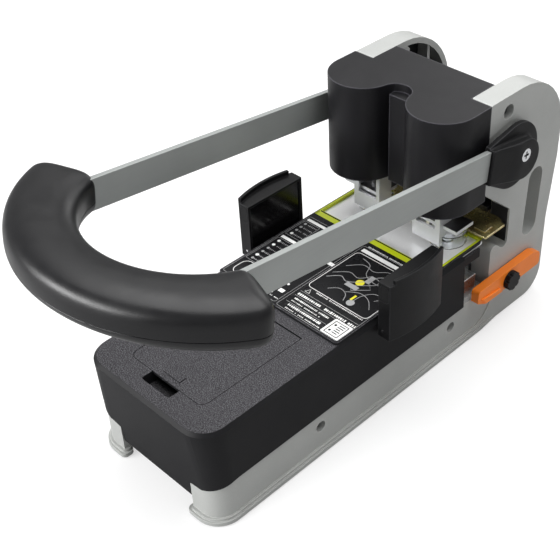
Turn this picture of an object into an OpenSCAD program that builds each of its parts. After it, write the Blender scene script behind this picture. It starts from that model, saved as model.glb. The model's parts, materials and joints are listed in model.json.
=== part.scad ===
// Heavy-duty two-hole punch with a long U-shaped lever, shown with the lever pressed down.
// X runs across the machine, Y from the front to the rear and Z up from the ground.
// The heights and depths below are measured from the ground and from the foot of the front skirt.

/* [Punching] */
// Distance between the centres of the two holes
hole_pitch = 80; // [79:0.5:81]
// Distance from the stopped edge of the paper to the hole centres
edge_distance = 12; // [11.5:0.5:13]
// Diameter of the hole that a punch cuts
hole_d = 6; // [5:0.5:6.5]
// How far the punches lift when the lever is raised
punch_lift = 38; // [36:0.5:38]
// Depth of the hole centres behind the front skirt
punch_y = 281; // [280:0.5:282]

/* [Frame castings] */
// Distance from a hole's centre to the outer face of the casting beside it
casting_reach = 28; // [27:0.25:30]
// How far a casting reaches inwards
casting_d = 18.3; // [17:0.1:18.5]
// Thickness of a casting's outer wall
casting_wall = 4; // [3:0.5:5]
// Width of the rim that runs round a casting
rim_w = 5; // [4:0.5:6]
// Height of the uprights above the highest place of the punch carrier
crown_room = 19; // [17:0.5:24]
// Radius of the round crown at the rear of an upright
crown_r = 60; // [54:1:62]
// Height of the low beams beside the base
beam_h = 41; // [39:0.5:42]
// Depth at which the castings reach furthest back
frame_rear_y = 387.8; // [385:0.1:392]
// Plan radius of the front feet and of the base's front corners
foot_r = 18; // [15:0.5:20]

/* [Base and table] */
// Height of the base cover
cover_h = 91.4; // [90.5:0.1:92]
// Wall of the base cover
cover_wall = 3; // [2.5:0.5:3]
// Width of the hatch lid
hatch_w = 78.8; // [70:0.2:80]
// How far the table plate stays inside the castings at each side
table_inset = 3.5; // [3:0.25:5]
// Front edge of the table plate
table_front_y = 124; // [122:0.5:130]
// Length of a side guide along the paper's edge
guide_len = 60; // [54:1:64]
// Height of a side guide's rim above the base cover
guide_rise = 43.6; // [34:0.2:48]
// How far each side guide slides outwards
guide_travel = 50; // [30:1:50]

/* [Lever] */
// Height of the lever's pivot above the base cover
pivot_rise = 82; // [81:0.2:84]
// Depth of the lever's pivot
pivot_y = 316; // [315:0.5:317]
// Rise of the arms towards the grip when the lever is down, in degrees
arm_rise = 6.75; // [5:0.25:8]
// Height of an arm
arm_h = 25; // [20:0.5:25]
// Thickness of an arm
arm_t = 4.3; // [3:0.1:4.6]
// Radius of the pivot shaft
shaft_r = 9; // [8:0.5:9.5]

/* [Grip] */
// How far the grip's centre line bows out past the castings
grip_flare = 35.6; // [32:0.2:38]
// Depth of the grip's curve
grip_b = 100; // [90:0.5:105]
// Distance from the pivot to the middle of the grip's curve
grip_s = 256.9; // [250:0.1:262]
// Half width of the tube at its ends
grip_w_end = 25.2; // [24:0.1:26]
// Half width of the tube at the front
grip_w_front = 23.3; // [21:0.1:25]
// Half height of the tube
grip_h = 16.6; // [15:0.1:19]

/* [Hidden] */
// Colours
casting_grey = [0.72, 0.73, 0.72];
cover_black = [0.17, 0.17, 0.19];
soft_black = [0.1, 0.1, 0.11];
arm_grey = [0.62, 0.64, 0.63];
bright_steel = [0.82, 0.84, 0.86];
dark_steel = [0.45, 0.46, 0.48];
yellow_zinc = [0.72, 0.6, 0.3];
lever_orange = [0.92, 0.43, 0.14];
print_green = [0.65, 0.76, 0.16];
clear_plastic = [0.8, 0.87, 0.9, 0.5];
board_ivory = [0.9, 0.88, 0.8];
bronze = [0.72, 0.55, 0.3];
rubber_black = [0.13, 0.13, 0.13];

// Fits and shared small sizes
overrun = 1;
running_gap = 0.06;
press_gap = 0.02;
part_gap = 0.3;
arc_step = 9;
sliver = 0.02;

// Heights that the others start from
throat_h = 45.6;
head_z = cover_h + throat_h;
carrier_rises = [9, 27];
carrier_z = head_z * [1, 1] + carrier_rises;
upright_h = carrier_z[1] + punch_lift + crown_room;
pivot_z = cover_h + pivot_rise;

// Side castings
body_w = hole_pitch + 2 * casting_reach;
frame_out = body_w / 2;
frame_in = frame_out - casting_d;
frame_foot_z = 1;
foot_front_y = -2.5;
foot_wrap = 28;
foot_in_x = frame_out - foot_wrap;
foot_t = 8;
foot_back_y = foot_front_y + foot_r;
foot_drop = 11;
foot_top_z = beam_h - foot_drop;
foot_slope_y = 20;
heel_y = 381;
heel_r = 22;
heel_drop = 16.4;
heel_z = cover_h - heel_drop;
swell_rise = 43.6;
swell_z = cover_h + swell_rise;
swell_r = 60;
upright_front_y = 288.7;
notch_top_gap = 5;
notch_top_z = head_z + notch_top_gap;
notch_rear_y = 325.5;
notch_upper_rise = 19.6;
notch_upper_z = cover_h + notch_upper_rise;
notch_drop = 22.4;
notch_lower_z = cover_h - notch_drop;
waist_drop = 2.4;
waist_z = cover_h - waist_drop;
leg_front_y = 303;
edge_r = 2;
corner_r = 5;
sunk_web = 1.2;
web_z = 6.8;
lip_z = 4.6;
web_rear_y = 308;
web_rear_z = 8.5;
web_end_y = 310;
web_r = 24;
lip_w = 2.5;
lip_side = 1.9;
lip_step = 1.5;
lip_overlap = 3.5;
lip_end_r = 4;
lip_end_y = 296;
lip_fade = 34;
slot_top_rise = 34.6;
slot_top_y = 358.5;
slot_top = [slot_top_y, cover_h + slot_top_rise];
slot_bottom_drop = 12.4;
slot_bottom_y = 356;
slot_bottom = [slot_bottom_y, cover_h - slot_bottom_drop];
slot_r = 9.5;
slot_wall = 3;
slot_depth = 13;
rib_t = 3;
upright_rib_y = 361;
upright_rib_rise = 24.6;
upright_rib_z = cover_h + upright_rib_rise;
boss_r = 22;
boss_outer_r = 27;
boss_proud = 4.5;
bush_r = 12;
bush_flange_r = 15;
bush_flange_t = 2;
pivot_out = frame_out + boss_proud;

// Points where the frame screws and cross bars sit, as depth and height
bar_points = [[103, 27], [256.3, 27.3]];
bar_r = 6;
top_screw_y = 311.5;
top_screw_drop = 14;
top_screw = [top_screw_y, upright_h - top_screw_drop];
screw_boss_r = 7;
top_screw_boss_r = 8.5;
screw_head_r = 4.7;
top_screw_head_r = 6.2;
screw_head_h = 2.6;
screw_sink = 7;
screw_r = 2;
screw_len = 24;

// Foot pads
pad_insets = [15, 3];
pad_x = frame_out * [1, 1] - pad_insets;
pad_len = 30;
pad_front_y = 24;
pad_rear_y = 318;
pad_h = 3;
pad_r = 5;

// Floor plate of the base
floor_t = 2;
floor_inset = 7;
floor_hw = frame_out - floor_inset;
floor_y = [24, 357];

// Base cover
cover_inset = 1;
cover_hw = frame_out - cover_inset;
cover_flare = 2.7;
cover_top_r = 21.5;
cover_skirt_r = 5.6;
skirt_z = 15.4;
lean_y = 6.3;
cover_rear_y = 270;
cover_edge = 2.5;
hatch_y = [17.2, 113.2];
hatch_gap = 0.3;
hatch_r = 6;
lid_t = 2.4;
hatch_pin_r = 0.8;
hatch_pin_len = 2.4;
notch_x = [-14, 16];
notch_y = [7, 17.5];
notch_r = 2;
hatch_tab = [[-8, 10], [22, 28]];
hatch_tab_h = 0.6;

// Storage tray under the hatch
tray_t = 1.5;
tray_ledge = 3;
tray_lip = 3.5;
tray_depth = 36;
finger_depth = 7;

// Spare cutting discs
disc_r = 9;
disc_h = 5;
spare_x = 20;
spare_y = 60;

// Table
table_w = body_w - 2 * table_inset;
table_t = 2.3;
label_t = 0.3;
label_margin = 1;
table_rear_y = 298;
table_r = 3;
table_rear_r = 7;
window_inset = 3;
window_hw = table_w / 2 - window_inset;
window_y = [238, 295.2];
bed_margin = 1.5;
bed_hw = window_hw + bed_margin;
bed_y = [236.5, 297];
bed_t = 3;
bed_hole_r = 5;
ring_r = 16;

// Anvil and the tray of cutting discs
anvil_y = [262, 300];
anvil_foot_inset = 6;
anvil_foot_hw = frame_out - anvil_foot_inset;
anvil_foot_h = 5;
anvil_gap = 0.5;
anvil_hw = frame_in - anvil_gap;
anvil_wall = 5;
anvil_nose_y = [273, 293];
anvil_nose_h = 14;
channel_y = [270.3, 291.7];
channel_gap = 0.2;
channel_depth = 8.6;
board_gap = 0.7;
board_hw = frame_in - board_gap;
board_end_inset = 2.5;
board_end_x = frame_out - board_end_inset;
board_grip_w = 2;
board_grip_x = board_end_x - board_grip_w;
board_groove = 3;

// Side guides, their racks and the pinion between them
guide_y = 193.5;
guide_h = cover_h + guide_rise;
guide_face_gap = 1.3;
guide_face_x = frame_out + guide_face_gap;
guide_depth = 11.2;
guide_end_x = guide_face_x + guide_depth;
guide_bulge = 4.7;
guide_wall = 2.5;
guide_drop = 11.4;
guide_foot_z = cover_h - guide_drop;
guide_floor = 3.5;
guide_top_gap = 4;
guide_recess = 1.5;
guide_step = 4.5;
pinion_r = 6;
pinion_teeth = 12;
tooth_add = 0.85;
tooth_ded = 1.15;
tooth_half = 0.6;
tooth_slope = 20;
pinion_post_r = 2.5;
rack_drops = [8.8, 3.4];
rack_z = cover_h * [1, 1] - rack_drops;
rack_back = 6.3;
rack_spare = 2;
rack_reach = guide_travel + rack_spare;
rail_inset = 10;
rail_x = frame_out - rail_inset;
rail_wall = 3.9;
rail_t = 2.3;

// Rear paper stop
stop_t = 2;
stop_rise = 6.1;
stop_z = cover_h + stop_rise;
stop_inset = 2.5;
stop_hw = frame_out - stop_inset;
stop_rear_y = 324;
stop_mid_inset = 1.7;
stop_mid_hw = frame_in - stop_mid_inset;
stop_mid_y = 334;
stop_r = 8;
stop_tab_hw = 22;
clip_insets = [15, 4];
clip_x = frame_out * [1, 1] - clip_insets;
clip_y = [298, 309];
clip_h = 4;

// Head cover with its two round lobes and the groove between them
lobe_y = 267.5;
lobe_r = 28.5;
groove_y = 259.5;
groove_r = sqrt(pow(hole_pitch / 2, 2) + pow(lobe_y - groove_y, 2)) - lobe_r;
strip_hw = 9;
strip_y = 262.5;
strip_top_drop = 7;
strip_top_z = upright_h - strip_top_drop;
strip_drop = 1;
head_wall = 2.5;
head_top_t = 3;
head_rear_y = 317;
head_screw_inset = 6;
head_screw_x = hole_pitch / 2 - head_screw_inset;
head_screw_y = 304;
head_boss_r = 4.5;

// Rear cover, as depth and height along its outer face
rear_top_y = 317.6;
rear_top_drop = 5;
rear_top = [rear_top_y, upright_h - rear_top_drop];
rear_bend_y = 342;
rear_bend_drop = 31;
rear_bend = [rear_bend_y, upright_h - rear_bend_drop];
rear_low_y = 371;
rear_low_rise = 3;
rear_low = [rear_low_y, beam_h + rear_low_rise];
rear_t = 2.5;

// Guide plates and columns of the punch carrier
lower_plate_rises = [1, 7];
lower_plate_z = head_z * [1, 1] + lower_plate_rises;
upper_plate_rises = [1.5, 8.5];
upper_plate_z = (carrier_z[1] + punch_lift) * [1, 1] + upper_plate_rises;
plate_y = [299, 312.5];
tongue_hw = 17.3;
tongue_y = 275;
column_x = 9;
column_y = 283;
column_r = 5;

// Cranks on the pivot shaft
crank_len = punch_lift;
crank_angle = 30;
crank_x = [20.5, 26.5];
crank_hub_r = 14;
crank_end_r = 7.5;
crank_pin_r = 4.5;
crank_pin_x = [16.2, 30.5];
pin_y = pivot_y - crank_len * cos(crank_angle);
pin_z = pivot_z - crank_len * sin(crank_angle);
pin_near_y = pivot_y - crank_len;

// Punch carrier
carrier_y = [266, 291];
carrier_margin = 16;
carrier_hw = hole_pitch / 2 + carrier_margin;
carrier_end_margin = 8;
carrier_end_x = hole_pitch / 2 + carrier_end_margin;
carrier_end_y = 287.5;
carrier_notch_hw = 15.5;
slot_gap = 0.45;
window_gap = 0.3;
chip_hole_r = 4;

// Punch blocks
block_margins = [-22, 6];
block_x = hole_pitch / 2 * [1, 1] + block_margins;
block_y = [262, 277];
block_foot_rise = 5.6;
block_foot_z = cover_h + block_foot_rise;
block_wall = 2.5;
block_window_margins = [-18.5, 1];
block_window_x = hole_pitch / 2 * [1, 1] + block_window_margins;
block_window_rises = [19.6, 46.6];
block_window_z = cover_h * [1, 1] + block_window_rises;
shelf_margins = [-20, 20];
shelf_x = hole_pitch / 2 * [1, 1] + shelf_margins;
shelf_y = [266, 287];
shelf_rises = [20.6, 23.6];
shelf_z = cover_h * [1, 1] + shelf_rises;
holder_r = 11.8;
ring_top_rise = 12.1;
ring_top_z = cover_h + ring_top_rise;
block_screw_inset = 6.7;
block_screw_x = hole_pitch / 2 - block_screw_inset;
block_screw_y = 270;
block_screw_r = 1.5;
block_screw_head_r = 2.75;
block_screw_len = 8;

// Punches and guard rings
shank_r = 4.5;
punch_wall = 0.6;
punch_tip_h = 6;
punch_tip_gap = 0.4;
punch_head_r = 6.5;
punch_head_h = 3;
ring_wall = 2;
ring_gap = 0.4;
ring_relief = 0.6;

// Arms, their caps and the pivot screws
arm_gap = 1.5;
arm_in = pivot_out + arm_gap;
arm_in_grip = 73.1;
arm_reach = grip_s + arm_in_grip;
cap_in = pivot_out + part_gap;
cap_disc_r = 25.5;
cap_disc_t = 5;
cap_disc_x = pivot_out + cap_disc_t;
cap_sleeve_h = 15.6;
cap_sleeve_len = 39.5;
cap_sleeve_t = 11.5;
cap_sleeve_x = pivot_out + cap_sleeve_t;
cap_round_r = 20;
cap_t = 13.5;
cap_out = pivot_out + cap_t;
shaft_end_len = 7;
shaft_end_x = pivot_out + shaft_end_len;
cap_screw_r = 3;
cap_screw_head_r = 5.6;
cap_screw_head_h = 2.8;
cap_screw_floor_t = 9.3;
cap_screw_floor = pivot_out + cap_screw_floor_t;
cap_screw_len = 18;

// Grip
grip_a = frame_out + grip_flare;
grip_t0 = 18.6;
grip_rings = 36;
grip_dome = 11;
grip_dome_turns = [12, 30, 48, 66, 80];
grip_dome_power_share = 0.46;
grip_seam_z = -5;
grip_exponent_end = 4;
grip_exponent_front = 3;
grip_sides = 20;
grip_slot_gap = 0.1;
grip_screw_r = 2;
grip_screw_head_r = 3.8;
grip_screw_len = 16;
grip_screw_turns_share = [0.23, 0.41, 0.59, 0.77];

// Orange lock lever and its knob, as depth and height
lever_gaps = [0.6, 8];
lever_x = frame_out * [1, 1] + lever_gaps;
lever_axis_y = 322.5;
lever_axis_rise = 3.2;
lever_axis = [lever_axis_y, beam_h + lever_axis_rise];
lever_y = [274, 369];
lever_rises = [-9, 12.5];
lever_z = beam_h * [1, 1] + lever_rises;
lever_nose = 10;
lever_end_r = 3;
lever_hub_r = 5;
knob_r = 8.5;
knob_t = 5;
knob_x = lever_x[1] + knob_t;
knob_flutes = 8;
knob_flute_r = 1.2;

// Chip tray at the rear
chip_gap = 1.2;
chip_hw = frame_in - chip_gap;
chip_y = [303, 380];
chip_drop = 3;
chip_z = [frame_foot_z + rim_w + floor_t + part_gap, beam_h - chip_drop];
chip_wall = 2;
chip_pull = 3;

// The part's origin lies midway between the front of the grip and the rear of the castings
function reach(w, h, e, a) = pow(pow(w * cos(a), e / (e - 1)) + pow(h * sin(a), e / (e - 1)), (e - 1) / e);
grip_front_y = pivot_y - (grip_s + grip_b) * cos(arm_rise)
    - reach(grip_w_front, grip_h, grip_exponent_front, arm_rise);
origin_y = (grip_front_y + frame_rear_y) / 2;

$fn = 48;

// Helper functions and modules

function unit(v) = v / norm(v);

// The arc that rounds corner b between its neighbours a and c, with the radius b[2]
function corner(a, b, c) =
    let (p = [b[0], b[1]],
         u = unit([a[0] - b[0], a[1] - b[1]]),
         v = unit([c[0] - b[0], c[1] - b[1]]))
    b[2] <= 0 ? [p] :
    let (half = acos(max(-1, min(1, u * v))) / 2,
         centre = p + unit(u + v) * b[2] / sin(half),
         s = p + u * b[2] / tan(half) - centre,
         e = p + v * b[2] / tan(half) - centre,
         sweep = (s[0] * e[1] > s[1] * e[0] ? 1 : -1) * (180 - 2 * half),
         start = atan2(s[1], s[0]),
         n = max(2, ceil(abs(sweep) / arc_step)))
    [for (i = [0:n]) centre + b[2] * [cos(start + sweep * i / n), sin(start + sweep * i / n)]];

// An outline of points [a, b, radius] with its corners rounded
function rounded(p) = let (n = len(p))
    [for (i = [0:n - 1]) each corner(p[(i + n - 1) % n], p[i], p[(i + 1) % n])];

// A counterclockwise outline of such points moved inwards by d
function inset(p, d) = let (n = len(p))
    [for (i = [0:n - 1])
        let (a = p[(i + n - 1) % n], b = p[i], c = p[(i + 1) % n],
             u = unit([b[0] - a[0], b[1] - a[1]]),
             v = unit([c[0] - b[0], c[1] - b[1]]),
             m = [-u[1] - v[1], u[0] + v[0]],
             q = [b[0], b[1]] + m * d / (1 + u * v),
             turn = u[0] * v[1] - u[1] * v[0])
        [q[0], q[1], b[2] <= 0 ? 0 : max(sliver, turn > 0 ? b[2] - d : b[2] + d)]];

// A rectangle of spans x and y, with corner radii for its front and its rear
function rectangle(x, y, r_front, r_rear) =
    [[x[0], y[0], r_front], [x[1], y[0], r_front], [x[1], y[1], r_rear], [x[0], y[1], r_rear]];

// An outline with round ends about the points p and q
function capsule(p, q, r) = let (a = atan2(q[1] - p[1], q[0] - p[0]))
    [for (end = [[q, a - 90], [p, a + 90]]) for (i = [0:12])
        end[0] + r * [cos(end[1] + i * 15), sin(end[1] + i * 15)]];

module placed() translate([0, -origin_y, 0]) children();

module block(x, y, z) translate([x[0], y[0], z[0]]) cube([x[1] - x[0], y[1] - y[0], z[1] - z[0]]);

// An outline in plan raised from z[0] to z[1]
module raised(z) translate([0, 0, z[0]]) linear_extrude(z[1] - z[0]) children();

// An outline of depth and height drawn out along X from x[0] to x[1]
module across(x) translate([x[0], 0, 0]) rotate([90, 0, 90]) linear_extrude(x[1] - x[0]) children();

module rod_x(r, x, p) translate([x[0], p[0], p[1]]) rotate([0, 90, 0]) cylinder(r = r, h = x[1] - x[0]);

module rod_z(r, z, p) translate([p[0], p[1], z[0]]) cylinder(r = r, h = z[1] - z[0]);

module both() {
    children();
    mirror([1, 0, 0]) children();
}

module on_left() mirror([1, 0, 0]) children();

// The arms' own frame: the pivot is at the centre and the grip lies towards -Y
module arm_frame() translate([0, pivot_y, pivot_z]) rotate([-arm_rise, 0, 0]) children();

function mid(span) = (span[0] + span[1]) / 2;
function sides(hw) = [-hw, hw];
function grown(span, d) = [span[0] - d, span[1] + d];

punch_at = [hole_pitch / 2, punch_y];
pivot_at = [pivot_y, pivot_z];

// Side castings

// Height of a foot's slope where the foot meets the beam
foot_join_z = beam_h - foot_drop * (foot_slope_y - foot_back_y) / (foot_slope_y - foot_front_y);

frame_outline = [
    [foot_back_y, frame_foot_z, 0],
    [heel_y, frame_foot_z, heel_r],
    [heel_y, heel_z, swell_r],
    [frame_rear_y, swell_z, swell_r],
    [frame_rear_y, upright_h, crown_r],
    [upright_front_y, upright_h, edge_r],
    [upright_front_y, notch_top_z, corner_r],
    [notch_rear_y, notch_upper_z, corner_r],
    [notch_rear_y, notch_lower_z, corner_r],
    [leg_front_y, waist_z, corner_r],
    [leg_front_y, beam_h, edge_r],
    [foot_slope_y, beam_h, 0],
    [foot_back_y, foot_join_z, 0]];

// The sunk web of the beam, open towards its top
web_outline = [
    [foot_back_y - overrun, web_z, 0],
    [web_rear_y, web_rear_z, web_r],
    [web_end_y, beam_h + overrun, 0],
    [foot_back_y - overrun, beam_h + overrun, 0]];

// The sloping top of a front foot, raised by d
function foot_cut(d) = [
    [foot_front_y - foot_r, foot_top_z + d],
    [foot_front_y, foot_top_z + d],
    [foot_slope_y, beam_h + d],
    [cover_rear_y + overrun, beam_h + d],
    [cover_rear_y + overrun, frame_foot_z - foot_r],
    [foot_front_y - foot_r, frame_foot_z - foot_r]];

// Plan of the wall that wraps round a front corner, drawn in by d from its outer faces
function foot_plan(d) = [
    [foot_in_x, foot_front_y + d, 0],
    [frame_out - d, foot_front_y + d, foot_r - d],
    [frame_out - d, foot_back_y + sliver, 0],
    [frame_out - foot_t, foot_back_y + sliver, 0],
    [frame_out - foot_t, foot_front_y + foot_t, foot_r - foot_t],
    [foot_in_x, foot_front_y + foot_t, 0]];

// Plan of the lip round the foot of a casting, drawn in by d; it fades out below the upright
function lip_plan(d) = [
    [foot_in_x - lip_overlap + d, foot_front_y - lip_w + d, lip_end_r],
    [frame_out + lip_side - d, foot_front_y - lip_w + d, foot_r + lip_w - d],
    [frame_out + lip_side - d, lip_end_y, 0],
    [frame_out - overrun, lip_end_y + lip_fade, 0],
    [frame_out - overrun, foot_back_y + sliver, 0],
    [frame_out - foot_t, foot_back_y + sliver, 0],
    [frame_out - foot_t, foot_front_y + foot_t, foot_r - foot_t],
    [foot_in_x - lip_overlap + d, foot_front_y + foot_t, lip_end_r]];

module front_foot() {
    raised([frame_foot_z, lip_z]) polygon(rounded(lip_plan(0)));
    raised([lip_z - sliver, web_z]) polygon(rounded(lip_plan(lip_step)));
    intersection() {
        raised([web_z - sliver, beam_h]) polygon(rounded(foot_plan(sunk_web)));
        across([0, frame_out]) polygon(foot_cut(0));
    }
}

module frame_ribs() intersection() {
    across([frame_in + rib_t, frame_out]) polygon(rounded(frame_outline));
    union() {
        block([frame_in, frame_out], [upright_rib_y, upright_rib_y + rib_t], [beam_h, upright_h]);
        block([frame_in, frame_out], [notch_rear_y, frame_rear_y],
            [upright_rib_z, upright_rib_z + rib_t]);
    }
}

module frame_casting() color(casting_grey) placed() difference() {
    union() {
        across([frame_out - casting_wall, frame_out]) polygon(rounded(frame_outline));
        across([frame_in, frame_out]) difference() {
            polygon(rounded(frame_outline));
            polygon(rounded(inset(frame_outline, rim_w)));
        }
        frame_ribs();
        front_foot();
        across([frame_out - slot_depth - slot_wall, frame_out])
            polygon(capsule(slot_top, slot_bottom, slot_r + slot_wall));
        for (p = bar_points) rod_x(screw_boss_r, [frame_in, frame_out], p);
        rod_x(top_screw_boss_r, [frame_in, frame_out], top_screw);
        rod_x(boss_r, [frame_in, frame_out], pivot_at);
        rod_x(boss_outer_r, [frame_out - casting_wall, pivot_out], pivot_at);
    }
    across([frame_out - sunk_web, frame_out + overrun]) polygon(rounded(web_outline));
    across([frame_out - slot_depth, frame_out + overrun]) polygon(capsule(slot_top, slot_bottom, slot_r));
    rod_x(bush_r + press_gap, [frame_in - overrun, pivot_out + overrun], pivot_at);
    for (p = concat(bar_points, [top_screw])) {
        rod_x(screw_r + press_gap, [frame_in - overrun, frame_out + overrun], p);
        rod_x((p == top_screw ? top_screw_head_r : screw_head_r) + press_gap,
            [frame_out - sunk_web - screw_sink, frame_out + overrun], p);
    }
    // Room for the guard ring when the punches are up
    rod_z(ring_r + 2 * ring_relief, [ring_top_z, notch_top_z + overrun + ring_relief], punch_at);
    for (y = [pad_front_y, pad_rear_y])
        raised([0, pad_h]) polygon(rounded(rectangle(pad_x, [y, y + pad_len], pad_r, pad_r)));
}

module left_frame() on_left() frame_casting();
module right_frame() frame_casting();

module foot_pads() color(rubber_black) placed() both() for (y = [pad_front_y, pad_rear_y])
    raised([0, pad_h - press_gap])
        polygon(rounded(inset(rectangle(pad_x, [y, y + pad_len], pad_r, pad_r), press_gap)));

module cross_bar(p) color(bright_steel) placed() difference() {
    rod_x(bar_r, sides(frame_in), p);
    both() rod_x(screw_r + press_gap, [frame_out - screw_len - screw_sink, frame_out], p);
}

module front_cross_bar() cross_bar(bar_points[0]);
module rear_cross_bar() cross_bar(bar_points[1]);

// A screw along X with a socket head of radius r, its head's inner face at x
module frame_screw(x, p, r) difference() {
    union() {
        rod_x(r, [x, x + screw_head_h], p);
        rod_x(screw_r, [x - screw_len + screw_head_h, x + sliver], p);
    }
    translate([x + screw_head_h / 2, p[0], p[1]]) rotate([0, 90, 0])
        cylinder(r = screw_r, h = screw_head_h, $fn = 6);
}

module frame_screws() color(dark_steel) placed() both() for (p = concat(bar_points, [top_screw]))
    frame_screw(frame_out - sunk_web - screw_sink, p, p == top_screw ? top_screw_head_r : screw_head_r);

module base_floor() color(dark_steel) placed()
    block(sides(floor_hw), floor_y, [frame_foot_z + rim_w, frame_foot_z + rim_w + floor_t]);

// Base cover

// One level of the cover's outer shape at height z, with the half width hw, its front at y and
// front corners of radius r, drawn in by d
module cover_level(z, hw, y, r, d) translate([0, 0, z]) linear_extrude(sliver)
    polygon(rounded(rectangle(sides(hw - d), [y + d, cover_rear_y], r - d, 0)));

module cover_shape(d) hull() {
    cover_level(d > 0 ? -d : skirt_z, cover_hw + cover_flare, 0, cover_skirt_r, d);
    cover_level(cover_h - cover_edge - d, cover_hw, -lean_y, cover_top_r, d);
    cover_level(cover_h - sliver - d, cover_hw, -lean_y, cover_top_r, d + (d > 0 ? 0 : cover_edge));
}

hatch_x = sides(hatch_w / 2);
hatch_axis = [hatch_y[1] - lid_t / 2, cover_h - lid_t / 2];

module base_cover() color(cover_black) placed() difference() {
    cover_shape(0);
    cover_shape(cover_wall);
    block(sides(cover_hw - cover_wall), [cover_rear_y - cover_wall, cover_rear_y + overrun],
        [0, cover_h - cover_wall]);
    both() across([foot_in_x - part_gap, cover_hw + cover_flare + overrun]) polygon(foot_cut(channel_gap));
    raised([cover_h - cover_wall - overrun, cover_h + overrun]) {
        polygon(rounded(rectangle(grown(hatch_x, hatch_gap), grown(hatch_y, hatch_gap),
            hatch_r + hatch_gap, 0)));
        polygon(rounded(rectangle(notch_x, [notch_y[0], notch_y[1] + overrun], notch_r, 0)));
    }
    block(sides(bed_hw + part_gap), [bed_y[0] - part_gap, cover_rear_y + overrun],
        [cover_h - cover_wall - overrun, cover_h + overrun]);
    both() rod_x(hatch_pin_r + running_gap,
        [hatch_x[1], hatch_x[1] + hatch_pin_len + part_gap], hatch_axis);
    both() block([cover_hw - cover_wall - overrun, cover_hw + overrun], grown(rack_span, part_gap),
        grown(rack_z, part_gap));
}

module hatch() color(cover_black) placed() {
    raised([cover_h - lid_t, cover_h])
        polygon(rounded(rectangle(hatch_x, [hatch_y[0], hatch_axis[0]], hatch_r, 0)));
    rod_x(lid_t / 2, hatch_x, hatch_axis);
    rod_x(hatch_pin_r, grown(hatch_x, hatch_pin_len), hatch_axis);
    block(hatch_tab[0], hatch_tab[1], [cover_h - sliver, cover_h + hatch_tab_h]);
}

tray_top_z = cover_h - cover_wall;
tray_x = grown(hatch_x, -tray_ledge);
tray_y = grown(hatch_y, -tray_ledge);

module storage_tray() color(cover_black) placed() difference() {
    union() {
        block(grown(hatch_x, tray_lip), [hatch_y[0], hatch_y[1] + tray_lip],
            [tray_top_z - tray_t, tray_top_z]);
        block(grown(tray_x, tray_t), grown(tray_y, tray_t), [tray_top_z - tray_depth, tray_top_z]);
        block(grown(notch_x, tray_t), [notch_y[0] - tray_t, tray_y[0] + tray_t],
            [tray_top_z - finger_depth - tray_t, tray_top_z]);
    }
    block(tray_x, tray_y, [tray_top_z - tray_depth + tray_t, tray_top_z + overrun]);
    block(notch_x, [notch_y[0], tray_y[0] + overrun], [tray_top_z - finger_depth, tray_top_z + overrun]);
}

module spare_discs() color(board_ivory) placed() for (side = [-1, 1])
    rod_z(disc_r, [0, disc_h] + [1, 1] * (tray_top_z - tray_depth + tray_t), [side * spare_x, spare_y]);

// Table

table_z = cover_h + table_t;

module punch_reliefs(z) both() rod_z(ring_r + ring_relief, z, punch_at);

module table_plate() color(cover_black) placed() difference() {
    raised([cover_h, table_z])
        polygon(rounded(rectangle(sides(table_w / 2), [table_front_y, table_rear_y], table_r, table_rear_r)));
    block(sides(window_hw), window_y, [cover_h - overrun, table_z + overrun]);
    punch_reliefs([cover_h - overrun, table_z + overrun]);
}

module label_sheet() color(print_green) placed() difference() {
    raised([table_z, table_z + label_t]) polygon(rounded(inset(
        rectangle(sides(table_w / 2), [table_front_y, table_rear_y], table_r, table_rear_r), label_margin)));
    block(sides(window_hw), window_y, [table_z - overrun, table_z + overrun]);
    punch_reliefs([table_z - overrun, table_z + overrun]);
}

module bed_plate() color(bright_steel) placed() difference() {
    block(sides(bed_hw), bed_y, [cover_h - bed_t, cover_h]);
    both() rod_z(bed_hole_r, [cover_h - bed_t - overrun, cover_h + overrun], punch_at);
}

// Anvil with its channel for the tray of cutting discs

channel_z = cover_h - bed_t - channel_depth;
disc_top_z = cover_h - bed_t - 2 * channel_gap;

module anvil_block() color(bright_steel) placed() difference() {
    union() {
        block(sides(anvil_foot_hw), anvil_y, [beam_h, beam_h + anvil_foot_h]);
        block(sides(anvil_hw), anvil_y, [beam_h, cover_h - bed_t]);
        block(sides(anvil_foot_hw), anvil_nose_y, [beam_h, beam_h + anvil_foot_h + anvil_nose_h]);
    }
    block(sides(anvil_hw + overrun), channel_y, [channel_z, cover_h]);
    block(sides(anvil_hw - anvil_wall), grown(anvil_y, -anvil_wall), [0, channel_z - anvil_wall]);
}

module board_tray() color(cover_black) placed() difference() {
    block([-board_hw, board_end_x], grown(channel_y, -channel_gap),
        [channel_z + channel_gap, cover_h - bed_t - channel_gap]);
    both() rod_z(disc_r + running_gap, [disc_top_z - disc_h, cover_h], punch_at);
    // Finger groove across the outer end
    block([board_grip_x - board_groove, board_grip_x], channel_y,
        [cover_h - bed_t - channel_gap - board_groove, cover_h]);
}

module cutting_discs() color(board_ivory) placed() both()
    rod_z(disc_r, [disc_top_z - disc_h, disc_top_z], punch_at);

// Side guides on racks

rack_span = [guide_y - pinion_r - rack_back, guide_y + pinion_r + rack_back];
guide_bulge_r = (pow(guide_len / 2, 2) + pow(guide_bulge, 2)) / (2 * guide_bulge);
tooth_pitch = 2 * PI * pinion_r / pinion_teeth;

// Half width of a tooth at the height h above its pitch line
function tooth_w(h) = tooth_half - h * tan(tooth_slope);

// Plan of a side guide's outer face, drawn in by d
function guide_outer(d) = [for (i = [-10:10])
    let (a = asin(guide_len / 2 / guide_bulge_r) * i / 10, r = guide_bulge_r - d)
    [guide_end_x + guide_bulge - guide_bulge_r + r * cos(a), guide_y + r * sin(a)]];

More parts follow.
